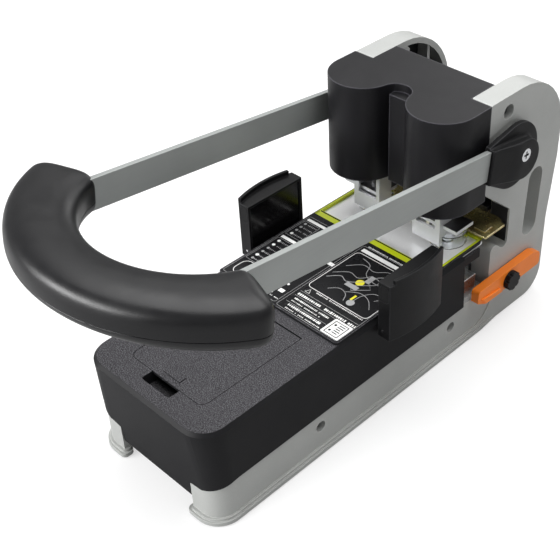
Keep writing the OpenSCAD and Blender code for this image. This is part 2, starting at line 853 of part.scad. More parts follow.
// The rack's teeth face the pinion, which lies at guide_y
module guide_rack() raised(rack_z) difference() {
    translate([-rack_reach, guide_y + pinion_r - tooth_add])
        square([rack_reach + guide_end_x, rack_back + tooth_add]);
    for (i = [-ceil(rack_reach / tooth_pitch):ceil(rack_reach / tooth_pitch)])
        translate([i * tooth_pitch, guide_y + pinion_r]) polygon([
            [-tooth_pitch / 2 + tooth_w(tooth_add + overrun / 5), -tooth_add - overrun / 5],
            [tooth_pitch / 2 - tooth_w(tooth_add + overrun / 5), -tooth_add - overrun / 5],
            [tooth_pitch / 2 - tooth_w(-tooth_ded), tooth_ded],
            [-tooth_pitch / 2 + tooth_w(-tooth_ded), tooth_ded]]);
}

module side_guide() color(cover_black) placed() {
    span = sides(guide_len / 2) + [guide_y, guide_y];
    top_z = guide_h - guide_top_gap;
    panel_x = guide_face_x + guide_recess + guide_wall;
    difference() {
        raised([guide_foot_z, top_z])
            polygon(concat([[guide_face_x, span[0]]], guide_outer(0), [[guide_face_x, span[1]]]));
        // Hollow, open at the foot
        raised([guide_foot_z - overrun, top_z - guide_wall]) intersection() {
            polygon(concat([[panel_x, span[0]]], guide_outer(guide_wall), [[panel_x, span[1]]]));
            translate([0, guide_y - guide_len / 2 + guide_wall])
                square([2 * frame_out, guide_len - 2 * guide_wall]);
        }
        // Shallow recess in the face towards the paper
        block([guide_face_x - overrun, guide_face_x + guide_recess], grown(span, -guide_wall),
            [guide_foot_z + guide_floor, top_z - guide_wall]);
    }
    // Rim along the outer face, one step short of the front end
    raised([top_z - guide_wall, guide_h]) intersection() {
        polygon(concat(guide_outer(0), [for (i = [20:-1:0]) guide_outer(guide_wall)[i]]));
        translate([0, span[0] + guide_step]) square([2 * frame_out, guide_len]);
    }
    guide_rack();
}

module right_guide() side_guide();
module left_guide() translate([0, 2 * (guide_y - origin_y), 0]) rotate([0, 0, 180]) side_guide();

module guide_pinion() color(board_ivory) placed() translate([0, guide_y, rack_z[0]]) difference() {
    linear_extrude(rack_z[1] - rack_z[0] - running_gap) polygon([for (i = [0:pinion_teeth - 1])
        for (q = [[-1, -tooth_ded], [-1, tooth_add], [1, tooth_add], [1, -tooth_ded]])
            let (r = pinion_r + q[1], a = 360 * i / pinion_teeth + q[0] * asin(tooth_w(q[1]) / r))
            r * [cos(a), sin(a)]]);
    translate([0, 0, -overrun]) cylinder(r = pinion_post_r + running_gap, h = 2 * rack_z[1]);
}

module guide_rail() color(bright_steel) placed() {
    floor_z = rack_z[0] - part_gap;
    span = grown(rack_span, part_gap);
    block(sides(rail_x), grown(span, rail_wall), [floor_z - rail_t, floor_z]);
    block(sides(rail_x), [span[0] - rail_wall, span[0]], [floor_z - rail_t, tray_top_z]);
    block(sides(rail_x), [span[1], span[1] + rail_wall], [floor_z - rail_t, tray_top_z]);
    rod_z(pinion_post_r, [floor_z - rail_t, tray_top_z], [0, guide_y]);
}

// Rear paper stop

stop_y = punch_y + edge_distance;

module rear_stop() color(yellow_zinc) placed() difference() {
    union() {
        raised([stop_z, stop_z + stop_t]) {
            polygon(rounded(rectangle(sides(stop_hw), [stop_y, stop_rear_y], 0, stop_r)));
            polygon(rounded(rectangle(sides(stop_mid_hw), [stop_y, stop_mid_y], 0, stop_r)));
        }
        block(sides(stop_tab_hw), [stop_y, stop_y + stop_t], [cover_h, stop_z + stop_t]);
    }
    punch_reliefs([cover_h, stop_z + stop_t + overrun]);
}

module stop_clips() color(cover_black) placed() both()
    block(clip_x, clip_y, [stop_z + stop_t, stop_z + stop_t + clip_h]);

// Head cover

lobe_x = hole_pitch / 2;
tangent_a = atan2(lobe_y - groove_y, lobe_x);

// Plan of the head cover; the walls are drawn in by d, and below the groove's floor
// a flat strip fills the groove
function head_plan(d, rear_y) = concat(
    [[lobe_x + lobe_r - d, rear_y]],
    [for (i = [0:20]) let (a = -(180 - tangent_a) * i / 20)
        [lobe_x, lobe_y] + (lobe_r - d) * [cos(a), sin(a)]],
    [for (i = [1:9]) let (a = tangent_a + (180 - 2 * tangent_a) * i / 10)
        [0, groove_y] + (groove_r + d) * [cos(a), sin(a)]],
    [for (i = [20:-1:0]) let (a = -(180 - tangent_a) * i / 20)
        [-lobe_x, lobe_y] + (lobe_r - d) * [-cos(a), sin(a)]],
    [[-lobe_x - lobe_r + d, rear_y]]);

module head_cover() color(cover_black) placed() difference() {
    union() {
        raised([head_z, upright_h]) polygon(head_plan(0, upright_front_y - part_gap));
        block(sides(frame_in - part_gap), [upright_front_y - overrun, head_rear_y],
            [upright_h - head_top_t, upright_h]);
        block(sides(strip_hw), [strip_y, groove_y + groove_r + head_wall / 2],
            [head_z - strip_drop, strip_top_z]);
    }
    raised([head_z - 2 * strip_drop, upright_h - head_top_t])
        polygon(head_plan(head_wall, upright_front_y + overrun));
    both() rod_z(screw_r + press_gap, [upper_plate_z[1], upright_h - head_top_t / 2],
        [head_screw_x, head_screw_y]);
}

module head_screws() color(dark_steel) placed() both() {
    rod_z(head_boss_r, [upper_plate_z[1], upright_h - head_top_t], [head_screw_x, head_screw_y]);
    rod_z(screw_r, [upper_plate_z[0], upright_h - head_top_t / 2 - press_gap], [head_screw_x, head_screw_y]);
}

module rear_cover() color(cover_black) placed() across(sides(frame_in - part_gap)) {
    u = unit(rear_bend - rear_top);
    v = unit(rear_low - rear_bend);
    nu = [u[1], -u[0]];
    nv = [v[1], -v[0]];
    polygon([rear_top, rear_bend, rear_low, rear_low + nv * rear_t,
        rear_bend + (nu + nv) * rear_t / (1 + nu * nv), rear_top + nu * rear_t]);
}

// Guide plates and columns

module guide_plate(z) difference() {
    union() {
        block(sides(frame_in - press_gap), plate_y, z);
        block(sides(tongue_hw), [tongue_y, plate_y[1]], z);
    }
    both() rod_z(column_r + press_gap, grown(z, overrun), [column_x, column_y]);
}

module lower_guide_plate() color(dark_steel) placed() guide_plate(lower_plate_z);

module upper_guide_plate() color(dark_steel) placed() difference() {
    guide_plate(upper_plate_z);
    both() rod_x(screw_r + press_gap, [frame_out - screw_len - screw_sink, frame_out], top_screw);
    both() rod_z(screw_r + press_gap, grown(upper_plate_z, overrun), [head_screw_x, head_screw_y]);
}

module guide_columns() color(bright_steel) placed() both()
    rod_z(column_r, [lower_plate_z[0], upper_plate_z[1]], [column_x, column_y]);

// Pivot

module bush() color(bronze) placed() difference() {
    union() {
        rod_x(bush_r, [frame_in - sliver, pivot_out], pivot_at);
        rod_x(bush_flange_r, [frame_in - bush_flange_t, frame_in], pivot_at);
    }
    rod_x(shaft_r + running_gap, [frame_in - bush_flange_t - overrun, pivot_out + overrun], pivot_at);
}

module left_bush() on_left() bush();
module right_bush() bush();

module pivot_shaft() color(bright_steel) placed() difference() {
    rod_x(shaft_r, sides(shaft_end_x), pivot_at);
    both() rod_x(cap_screw_r + press_gap, [cap_screw_floor - cap_screw_len - overrun, cap_out], pivot_at);
}

module crank() color(dark_steel) placed() difference() {
    union() {
        rod_x(crank_hub_r, crank_x, pivot_at);
        across(crank_x) polygon(capsule(pivot_at, [pin_y, pin_z], crank_end_r));
        rod_x(crank_pin_r, crank_pin_x, [pin_y, pin_z]);
    }
    rod_x(shaft_r + press_gap, grown(crank_x, overrun), pivot_at);
}

module left_crank() on_left() crank();
module right_crank() crank();

// Arms and caps

arm_span = [arm_in, arm_in + arm_t];

module arm() color(arm_grey) placed() arm_frame() difference() {
    union() {
        block(arm_span, [-arm_reach, 0], sides(arm_h / 2));
        rod_x(arm_h / 2, arm_span, [0, 0]);
    }
    rod_x(shaft_r + press_gap, grown(arm_span, overrun), [0, 0]);
}

module left_arm() on_left() arm();
module right_arm() arm();

// Outline of a cap's body: a round end about the pivot and straight flanks towards the arm's entry
function cap_outline(r, l, h) = let (a = atan2(h, -l) - acos(r / norm([l, h])))
    concat([[-l, -h]], [for (i = [-12:12]) r * [cos(a * i / 12), sin(a * i / 12)]], [[-l, h]]);

module pivot_cap() color(cover_black) placed() arm_frame() difference() {
    union() {
        rod_x(cap_disc_r, [cap_in, cap_disc_x], [0, 0]);
        rod_x(cap_round_r, [cap_in, cap_out], [0, 0]);
        across([cap_in, cap_sleeve_x]) polygon(cap_outline(cap_round_r, cap_sleeve_len, cap_sleeve_h));
    }
    block(grown(arm_span, grip_slot_gap), [-cap_sleeve_len - overrun, 0], sides(arm_h / 2 + grip_slot_gap));
    rod_x(arm_h / 2 + grip_slot_gap, grown(arm_span, grip_slot_gap), [0, 0]);
    rod_x(shaft_r + grip_slot_gap, [cap_in - overrun, shaft_end_x + grip_slot_gap], [0, 0]);
    rod_x(cap_screw_r + press_gap, [cap_in, cap_out + overrun], [0, 0]);
    rod_x(cap_screw_head_r + running_gap, [cap_screw_floor, cap_out + overrun], [0, 0]);
}

module left_pivot_cap() on_left() pivot_cap();
module right_pivot_cap() pivot_cap();

module pivot_screws() color(bright_steel) placed() both() arm_frame() difference() {
    union() {
        rod_x(cap_screw_head_r, [cap_screw_floor, cap_screw_floor + cap_screw_head_h], [0, 0]);
        rod_x(cap_screw_r, [cap_screw_floor - cap_screw_len, cap_screw_floor + sliver], [0, 0]);
    }
    for (turn = [0, 90]) rotate([turn, 0, 0])
        block([cap_screw_floor + cap_screw_head_h / 2, cap_out], sides(cap_screw_r), sides(cap_screw_r / 4));
}

// Grip, swept along part of an ellipse about the two arms

function grip_blend(t) = (sin(t) - sin(grip_t0)) / (1 - sin(grip_t0));
function grip_w(t) = grip_w_end + (grip_w_front - grip_w_end) * grip_blend(t);
function grip_e(t) = grip_exponent_end + (grip_exponent_front - grip_exponent_end) * grip_blend(t);
function power(c, e) = sign(c) * pow(abs(c), 2 / e);
function seam_angle(t, k) = -asin(pow(-grip_seam_z / grip_h / k, grip_e(t) / 2));

// One ring of a half of the grip, at the share k of the full section: its angle runs from a to b
function grip_ring(t, k, a, b) =
    let (n = unit([grip_b * cos(t), -grip_a * sin(t)]), e = grip_e(t))
    [for (i = [0:grip_sides - 1])
        let (q = a + (b - a) * i / (grip_sides - 1), u = k * grip_w(t) * power(cos(q), e))
        [grip_a * cos(t) + n[0] * u, -grip_s - grip_b * sin(t) + n[1] * u, k * grip_h * power(sin(q), e)]];

// Rings along the grip, each as [angle, share of the full section]: both ends close like domes
dome_sweep = grip_dome / grip_b * 180 / PI;
dome_rings = [for (q = grip_dome_turns)
    [grip_t0 + dome_sweep * (1 - cos(q)), pow(sin(q), grip_dome_power_share)]];
tube_rings = [for (i = [0:grip_rings]) let (t0 = grip_t0 + dome_sweep)
    [t0 + (180 - 2 * t0) * i / grip_rings, 1]];
all_rings = concat(dome_rings, tube_rings,
    [for (i = [len(dome_rings) - 1:-1:0]) [180 - dome_rings[i][0], dome_rings[i][1]]]);

// Half of the grip: upper is true above the seam
module grip_half(upper) {
    rings = [for (r = all_rings) let (s = seam_angle(r[0], r[1]))
        upper ? grip_ring(r[0], r[1], s, 180 - s) : grip_ring(r[0], r[1], 180 - s, 360 + s)];
    n = grip_sides;
    last = len(rings) - 1;
    polyhedron(points = [for (ring = rings) each ring], faces = concat(
        [[for (k = [0:n - 1]) k], [for (k = [n - 1:-1:0]) last * n + k]],
        [for (i = [0:last - 1]) for (k = [0:n - 1]) for (f = [0, 1])
            let (a = i * n + k, b = i * n + (k + 1) % n)
            f == 0 ? [a, a + n, b + n] : [a, b + n, b]]));
}

module arm_slots() both() block(grown(arm_span, grip_slot_gap), [-arm_reach - grip_slot_gap, 0],
    sides(arm_h / 2 + grip_slot_gap));

// Runs its child at each grip screw, whose axis points up through the tube
module at_grip_screws() for (share = grip_screw_turns_share)
    let (t = grip_t0 + (180 - 2 * grip_t0) * share)
    translate([grip_a * cos(t), -grip_s - grip_b * sin(t), 0]) children();

module grip_upper() color(soft_black) placed() arm_frame() difference() {
    grip_half(true);
    arm_slots();
    at_grip_screws() translate([0, 0, grip_seam_z - overrun])
        cylinder(r = grip_screw_r + press_gap, h = grip_screw_len - grip_h - grip_seam_z);
}

module grip_lower() color(soft_black) placed() arm_frame() difference() {
    grip_half(false);
    arm_slots();
    at_grip_screws() translate([0, 0, -grip_h - overrun]) {
        cylinder(r = grip_screw_r + press_gap, h = grip_h);
        cylinder(r = grip_screw_head_r + running_gap, h = (grip_h + grip_seam_z) / 2 + overrun);
    }
}

module grip_screws() color(dark_steel) placed() arm_frame() at_grip_screws() {
    head_z = -grip_h + (grip_h + grip_seam_z) / 2;
    translate([0, 0, head_z - grip_screw_r]) cylinder(r = grip_screw_head_r, h = grip_screw_r);
    translate([0, 0, head_z - sliver]) cylinder(r = grip_screw_r, h = grip_screw_len / 2);
}

// Punch carrier

module carrier_beam() color(dark_steel) placed() difference() {
    union() {
        block(sides(carrier_end_x), carrier_y, carrier_z);
        block(sides(carrier_hw), [carrier_y[0], carrier_end_y], carrier_z);
    }
    block(sides(carrier_notch_hw), [carrier_y[0] - overrun, tongue_y], grown(carrier_z, overrun));
    both() {
        rod_z(column_r + running_gap, grown(carrier_z, overrun), [column_x, column_y]);
        rod_z(chip_hole_r, grown(carrier_z, overrun), punch_at);
        block(grown(crank_x, window_gap), [pin_near_y - crank_end_r - window_gap, carrier_y[1] + overrun],
            grown(carrier_z, overrun));
        block(grown(crank_pin_x, window_gap), [pin_near_y, pin_y] + [-1, 1] * (crank_pin_r + window_gap),
            [pin_z, pin_z] + [-1, 1] * (crank_pin_r + slot_gap));
        rod_z(block_screw_r + press_gap, [carrier_z[0] - overrun, carrier_z[0] + block_screw_len],
            [block_screw_x, block_screw_y]);
    }
}

module punch_block() color(bright_steel) placed() difference() {
    union() {
        difference() {
            block(block_x, block_y, [block_foot_z, carrier_z[0]]);
            block(grown(block_x, -block_wall), [block_y[0] + block_wall, block_y[1] + overrun],
                [block_foot_z - overrun, carrier_z[0] - block_wall]);
            block(block_window_x, [block_y[0] - overrun, block_y[0] + block_wall + overrun], block_window_z);
        }
        block(shelf_x, shelf_y, shelf_z);
        rod_z(holder_r, [ring_top_z, shelf_z[0] + sliver], punch_at);
    }
    rod_z(ring_r + 2 * ring_gap, [0, ring_top_z], punch_at);
    rod_z(shank_r + press_gap, [0, carrier_z[0] + overrun], punch_at);
    rod_z(punch_head_r + ring_gap, [carrier_z[0] - block_wall - overrun, carrier_z[0] + overrun], punch_at);
    rod_z(block_screw_r + press_gap, [carrier_z[0] - block_wall - overrun, carrier_z[0] + overrun],
        [block_screw_x, block_screw_y]);
}

module left_punch_block() on_left() punch_block();
module right_punch_block() punch_block();

module block_screws() color(dark_steel) placed() both() {
    rod_z(block_screw_head_r, [carrier_z[0] - block_wall - block_screw_head_r, carrier_z[0] - block_wall],
        [block_screw_x, block_screw_y]);
    rod_z(block_screw_r, [carrier_z[0] - block_wall - sliver, carrier_z[0] + block_screw_len - block_wall],
        [block_screw_x, block_screw_y]);
}

module punch() color(bright_steel) placed() translate([punch_at[0], punch_at[1], 0])
    rotate_extrude() polygon([
        [hole_d / 2, cover_h - bed_t + punch_tip_gap],
        [hole_d / 2 + punch_wall, cover_h - bed_t + punch_tip_gap],
        [shank_r, cover_h - bed_t + punch_tip_gap + punch_tip_h],
        [shank_r, carrier_z[0] - punch_head_h],
        [punch_head_r, carrier_z[0] - punch_head_h],
        [punch_head_r, carrier_z[0]],
        [hole_d / 2, carrier_z[0]]]);

module left_punch() on_left() punch();
module right_punch() punch();

module guard_ring() color(clear_plastic) placed() difference() {
    rod_z(ring_r, [cover_h + ring_gap, ring_top_z], punch_at);
    rod_z(ring_r - ring_wall, [cover_h, ring_top_z - ring_wall], punch_at);
    rod_z(shank_r + ring_gap, [cover_h, ring_top_z + overrun], punch_at);
}

module left_guard_ring() on_left() guard_ring();
module right_guard_ring() guard_ring();

// Lock lever

module lock_lever() color(lever_orange) placed() difference() {
    across(lever_x) polygon(rounded([
        [lever_y[0] + lever_nose, lever_z[0], lever_end_r],
        [lever_y[1], lever_z[0], lever_end_r],
        [lever_y[1], lever_z[1] - lever_nose / 2, lever_end_r],
        [lever_y[1] - lever_nose, lever_z[1], lever_end_r],
        [lever_y[0], lever_z[1], lever_end_r],
        [lever_y[0], lever_z[0] + lever_nose, lever_end_r]]));
    rod_x(lever_hub_r + press_gap, grown(lever_x, overrun), lever_axis);
}

module lock_knob() color(cover_black) placed() {
    rod_x(lever_hub_r, [frame_out + part_gap, lever_x[1] + sliver], lever_axis);
    difference() {
        rod_x(knob_r, [lever_x[1], knob_x], lever_axis);
        for (i = [0:knob_flutes - 1]) let (a = 360 * (i + 1 / 2) / knob_flutes)
            rod_x(knob_flute_r, [lever_x[1] + knob_flute_r, knob_x + overrun],
                lever_axis + knob_r * [cos(a), sin(a)]);
    }
}

// Chip tray

module chip_tray() color(cover_black) placed() difference() {
    union() {
        block(sides(chip_hw), chip_y, chip_z);
        block(sides(chip_hw / 2), [chip_y[1], chip_y[1] + chip_pull], [mid(chip_z), mid(chip_z) + chip_pull]);
    }
    block(sides(chip_hw - chip_wall), grown(chip_y, -chip_wall),
        [chip_z[0] + chip_wall, chip_z[1] + overrun]);
}

left_frame();
right_frame();
front_cross_bar();
rear_cross_bar();
frame_screws();
foot_pads();
base_floor();
base_cover();
storage_tray();
spare_discs();
hatch();
table_plate();
label_sheet();
bed_plate();
anvil_block();
board_tray();
cutting_discs();
guide_rail();
guide_pinion();
left_guide();
right_guide();
rear_stop();
stop_clips();
lower_guide_plate();
upper_guide_plate();
guide_columns();
head_cover();
head_screws();
rear_cover();
left_bush();
right_bush();
pivot_shaft();
left_crank();
right_crank();
left_arm();
right_arm();
left_pivot_cap();
right_pivot_cap();
pivot_screws();
grip_upper();
grip_lower();
grip_screws();
carrier_beam();
left_punch_block();
right_punch_block();
block_screws();
left_punch();
right_punch();
left_guard_ring();
right_guard_ring();
lock_lever();
lock_knob();
chip_tray();
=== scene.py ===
import json
import math

import bmesh
import bpy
from mathutils import Matrix, Vector
from mathutils.geometry import convex_hull_2d


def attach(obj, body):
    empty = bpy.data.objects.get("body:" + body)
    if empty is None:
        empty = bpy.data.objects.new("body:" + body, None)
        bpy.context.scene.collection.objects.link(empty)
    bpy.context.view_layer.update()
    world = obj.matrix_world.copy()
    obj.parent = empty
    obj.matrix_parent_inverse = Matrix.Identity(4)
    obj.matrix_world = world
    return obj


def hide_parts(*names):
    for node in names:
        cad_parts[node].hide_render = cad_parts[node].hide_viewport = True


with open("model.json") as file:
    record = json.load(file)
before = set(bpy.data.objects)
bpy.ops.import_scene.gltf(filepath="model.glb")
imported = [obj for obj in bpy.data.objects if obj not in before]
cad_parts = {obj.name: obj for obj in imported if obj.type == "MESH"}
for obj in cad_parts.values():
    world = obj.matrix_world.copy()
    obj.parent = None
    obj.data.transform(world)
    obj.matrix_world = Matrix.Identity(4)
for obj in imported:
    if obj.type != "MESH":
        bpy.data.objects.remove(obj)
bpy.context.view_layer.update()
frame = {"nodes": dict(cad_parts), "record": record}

print("stage: frame loaded")

mm = 0.001

# Places that several pieces share, in millimetres, with depths from the front skirt, and the
# arms' angle at rest
place = {
    "originY": 162.93,
    "pivotY": 316.0,
    "pivotZ": 173.4,
    "armRise": math.radians(6.75),
    "coverTop": 91.4,
}


def at(x, y, z):
    return Vector((x, y - place["originY"], z)) * mm


# A point of the lever's own frame, whose centre is the pivot
def onLever(x, y, z):
    a = place["armRise"]
    return at(x, place["pivotY"] + y * math.cos(a) + z * math.sin(a),
              place["pivotZ"] - y * math.sin(a) + z * math.cos(a))


def fromPivot(y, z):
    return math.hypot(y - place["pivotY"], z - place["pivotZ"])


def between(value, low, high):
    return min(high, max(low, value))


# Camera: its place in the machine's millimetres, angles in degrees, the picture's centre in pixels

camera = {
    "place": (481.5, -302.0, 624.4),
    "azimuth": 45.06,
    "elevation": 37.01,
    "roll": -1.61,
    "lens": 70.84,
    "sensor": 36,
    "centre": (324.4, 254.6),
    "frame": 560,
    "clip": (0.01, 20),
}


def makeCamera():
    az = math.radians(camera["azimuth"])
    el = math.radians(camera["elevation"])
    roll = math.radians(camera["roll"])
    ahead = Vector((-math.sin(az) * math.cos(el), math.cos(az) * math.cos(el), -math.sin(el)))
    right = Vector((math.cos(az), math.sin(az), 0))
    up = right.cross(ahead)
    r = right * math.cos(roll) + up * math.sin(roll)
    u = up * math.cos(roll) - right * math.sin(roll)
    data = bpy.data.cameras.new("camera")
    data.lens = camera["lens"]
    data.sensor_width = camera["sensor"]
    half = camera["frame"] / 2
    data.shift_x = (half - camera["centre"][0]) / camera["frame"]
    data.shift_y = (camera["centre"][1] - half) / camera["frame"]
    data.clip_start, data.clip_end = camera["clip"]
    obj = bpy.data.objects.new("camera", data)
    bpy.context.scene.collection.objects.link(obj)
    turn = Matrix((r, u, -ahead)).transposed().to_4x4()
    obj.matrix_world = Matrix.Translation(at(*camera["place"])) @ turn
    bpy.context.scene.camera = obj


makeCamera()


# Materials

noiseSpan = (0.3, 0.7)  # most of a noise's values lie in it


class Graph:
    def __init__(self, name):
        self.mat = bpy.data.materials.new(name)
        self.mat.use_nodes = True
        self.tree = self.mat.node_tree
        self.shader = self.tree.nodes["Principled BSDF"]
        self.coords = self.node("TexCoord").outputs["Object"]

    def node(self, kind, **values):
        made = self.tree.nodes.new("ShaderNode" + kind)
        for key, value in values.items():
            setattr(made, key, value)
        return made

    def link(self, a, b):
        self.tree.links.new(a, b)

    # A fixed value of the shader, and one that comes from a node
    def fix(self, name, value):
        self.shader.inputs[name].default_value = value

    def feed(self, name, value):
        self.link(value, self.shader.inputs[name])

    # Noise on stretched object coordinates; scale is in features per metre
    def noise(self, scale, detail, stretch=(1, 1, 1)):
        mapping = self.node("Mapping")
        mapping.inputs["Scale"].default_value = stretch
        self.link(self.coords, mapping.inputs["Vector"])
        made = self.node("TexNoise")
        made.inputs["Scale"].default_value = scale
        made.inputs["Detail"].default_value = detail
        self.link(mapping.outputs["Vector"], made.inputs["Vector"])
        return made.outputs["Fac"]

    # Maps the span from start to end onto low to high
    def spread(self, value, low, high, start=noiseSpan[0], end=noiseSpan[1]):
        made = self.node("MapRange")
        made.inputs["From Min"].default_value = start
        made.inputs["From Max"].default_value = end
        made.inputs["To Min"].default_value = low
        made.inputs["To Max"].default_value = high
        self.link(value, made.inputs["Value"])
        return made.outputs["Result"]

    def ramp(self, value, stops):
        made = self.node("ValToRGB")
        elements = made.color_ramp.elements
        while len(elements) < len(stops):
            elements.new(0.5)
        for element, (position, colour) in zip(elements, stops):
            element.position = position
            element.color = (*colour, 1)
        self.link(value, made.inputs["Fac"])
        return made.outputs["Color"]

    # Clouds of a darker and a paler tone
    def clouds(self, scale, detail, dark, pale):
        return self.ramp(self.noise(scale, detail), [(noiseSpan[0], dark), (noiseSpan[1], pale)])

    # Roughness that a noise varies
    def sheen(self, scale, detail, low, high):
        self.feed("Roughness", self.spread(self.noise(scale, detail), low, high))

    # The node's colour sockets are inputs 6 and 7 and output 2
    def mix(self, factor, a, b):
        made = self.node("Mix", data_type="RGBA")
        for value, key in ((factor, 0), (a, 6), (b, 7)):
            if isinstance(value, tuple):
                made.inputs[key].default_value = (*value, 1)
            else:
                self.link(value, made.inputs[key])
        return made.outputs[2]

    def product(self, a, b):
        made = self.node("Math", operation="MULTIPLY")
        self.link(a, made.inputs[0])
        self.link(b, made.inputs[1])
        return made.outputs[0]

    # 1 along edges, 0 on flat places: compares the normal with one rounded over a radius. It marks the paler
    #                                  edges: edge wear on the metals and paint, and a painted highlight on
    #                                  the black plastics
    def wear(self, radius=0.0007, start=0.004, end=0.08):
        rounded = self.node("Bevel", samples=4)
        rounded.inputs["Radius"].default_value = radius
        plain = self.node("NewGeometry").outputs["Normal"]
        dot = self.node("VectorMath", operation="DOT_PRODUCT")
        self.link(rounded.outputs["Normal"], dot.inputs[0])
        self.link(plain, dot.inputs[1])
        flat = self.node("Math", operation="SUBTRACT")
        flat.inputs[0].default_value = 1
        self.link(dot.outputs["Value"], flat.inputs[1])
        return self.spread(flat.outputs[0], 0, 1, start, end)

    # 1 where a face looks up
    def upward(self, start, end):
        split = self.node("SeparateXYZ")
        self.link(self.node("NewGeometry").outputs["True Normal"], split.inputs["Vector"])
        return self.spread(split.outputs["Z"], 0, 1, start, end)

    def bump(self, value, depth):
        made = self.node("Bump")
        made.inputs["Distance"].default_value = depth
        made.inputs["Strength"].default_value = 1
        self.link(value, made.inputs["Height"])
        self.feed("Normal", made.outputs["Normal"])


def shade(colour, factor):
    return tuple(min(1.0, c * factor) for c in colour)


# What the moulded plastics share; scales are in features per metre
plasticLook = {
    "cloudScale": 28,
    "sheenScale": 60,
    "glossier": 0.05,
    "duller": 0.06,
}


# Moulded plastic with a fine spark-eroded grain, slightly paler along its edges as a painted highlight
def moulded(name, colour, rough, grain=0.002, depth=0.00001, gloss=0.5, mottle=0.12, edge=1.6,
            worn=0.0013):
    look = plasticLook
    g = Graph(name)
    g.fix("Specular IOR Level", gloss)
    tone = g.clouds(look["cloudScale"], 3, shade(colour, 1 - mottle), shade(colour, 1 + mottle))
    if edge > 1:
        tone = g.mix(g.wear(worn), tone, shade(colour, edge))
    g.feed("Base Color", tone)
    g.sheen(look["sheenScale"], 5, rough - look["glossier"], rough + look["duller"])
    g.bump(g.noise(1 / grain, 3), depth)
    return g.mat


# The base cover's plastic: satin sides, and a coarse grain on what faces up, with pale specks painted there
# as sparkle and top light
coverLook = {
    "gloss": 0.14,
    "sides": ((0.0085, 0.0085, 0.0095), (0.011, 0.011, 0.012)),
    "top": [(0.38, (0.012, 0.0118, 0.0135)), (0.5, (0.032, 0.031, 0.035)), (0.62, (0.12, 0.118, 0.126))],
    "cloudScale": 28,
    "speckScale": 1500,
    "grainScale": 1300,
    "grainDepth": 0.0002,
    "sideGrain": 0.3,  # share of the depth
    "rough": (0.5, 0.62),
    "facing": (0.97, 0.995),
}


def coverPlastic():
    look = coverLook
    g = Graph("texturedBlack")
    g.fix("Specular IOR Level", look["gloss"])
    side = g.clouds(look["cloudScale"], 3, *look["sides"])
    # Painted light: the up-facing top gets pale specks, a painted sparkle and top light on a real grain
    speckAndTopLight = g.ramp(g.noise(look["speckScale"], 2), look["top"])
    up = g.upward(*look["facing"])
    g.feed("Base Color", g.mix(up, side, speckAndTopLight))
    g.feed("Roughness", g.spread(up, *look["rough"], 0, 1))
    grain = g.noise(look["grainScale"], 3)
    g.bump(g.product(grain, g.spread(up, look["sideGrain"], 1.0, 0, 1)), look["grainDepth"])
    return g.mat


# The castings' paint: warm grey with fine pale flakes
castingLook = {
    "gloss": 0.4,
    "metallic": 0.15,
    "tones": ((0.375, 0.383, 0.372), (0.415, 0.423, 0.41)),
    "flake": (0.62, 0.63, 0.62),
    "flakeShare": 0.3,
    "flakeSpan": (0.5, 0.75),
    "edge": (0.6, 0.61, 0.59),
    "cloudScale": 16,
    "flakeScale": 2600,
    "sheenScale": 90,
    "grainScale": 900,
    "grainDepth": 0.00003,
    "rough": (0.4, 0.52),
}


def castingPaint():
    look = castingLook
    g = Graph("castingPaint")
    g.fix("Specular IOR Level", look["gloss"])
    g.fix("Metallic", look["metallic"])
    base = g.clouds(look["cloudScale"], 4, *look["tones"])
    spots = g.spread(g.noise(look["flakeScale"], 2), 0, look["flakeShare"], *look["flakeSpan"])
    g.feed("Base Color", g.mix(g.wear(), g.mix(spots, base, look["flake"]), look["edge"]))
    g.sheen(look["sheenScale"], 4, *look["rough"])
    g.bump(g.noise(look["grainScale"], 3), look["grainDepth"])
    return g.mat


# What the metals share; a brushed one stretches its noise
metalLook = {
    "cloudScale": 25,
    "brushScale": 700,
    "glossier": 0.06,
    "duller": 0.08,
    "edge": 1.25,
}


def metal(name, colour, rough, stretch=(1, 1, 1), scratch=0.00001, mottle=0.06, metallic=1.0):
    look = metalLook
    g = Graph(name)
    g.fix("Metallic", metallic)
    tone = g.clouds(look["cloudScale"], 5, shade(colour, 1 - mottle), shade(colour, 1 + mottle))
    g.feed("Base Color", g.mix(g.wear(), tone, shade(colour, look["edge"])))
    brushed = g.noise(look["brushScale"], 4, stretch)
    g.feed("Roughness", g.spread(brushed, rough - look["glossier"], rough + look["duller"]))
    g.bump(brushed, scratch)
    return g.mat


# Clear plastic, faintly wavy
clearLook = {
    "tint": (0.95, 0.97, 0.98, 1),
    "index": 1.46,
    "sheenScale": 200,
    "rough": (0.02, 0.08),
    "waveScale": 300,
    "waveDepth": 0.00002,
}


def clearPlastic():
    look = clearLook
    g = Graph("clearPlastic")
    g.fix("Base Color", look["tint"])
    g.fix("Transmission Weight", 1)
    g.fix("IOR", look["index"])
    g.sheen(look["sheenScale"], 3, *look["rough"])
    g.bump(g.noise(look["waveScale"], 2), look["waveDepth"])
    return g.mat


# Yellow zinc: a thin film that goes from gold to brown in clouds
zincLook = {
    "metallic": 0.8,
    "film": [(0.3, (0.55, 0.43, 0.1)), (0.5, (0.6, 0.52, 0.22)), (0.7, (0.43, 0.28, 0.12))],
    "edge": (0.85, 0.8, 0.62),
    "filmScale": 45,
    "sheenScale": 140,
    "rough": (0.16, 0.3),
    "grainScale": 500,
    "grainDepth": 0.00001,
}


def zincFilm():
    look = zincLook
    g = Graph("yellowZinc")
    g.fix("Metallic", look["metallic"])
    film = g.ramp(g.noise(look["filmScale"], 5), look["film"])
    g.feed("Base Color", g.mix(g.wear(), film, look["edge"]))
    g.sheen(look["sheenScale"], 4, *look["rough"])
    g.bump(g.noise(look["grainScale"], 3), look["grainDepth"])
    return g.mat


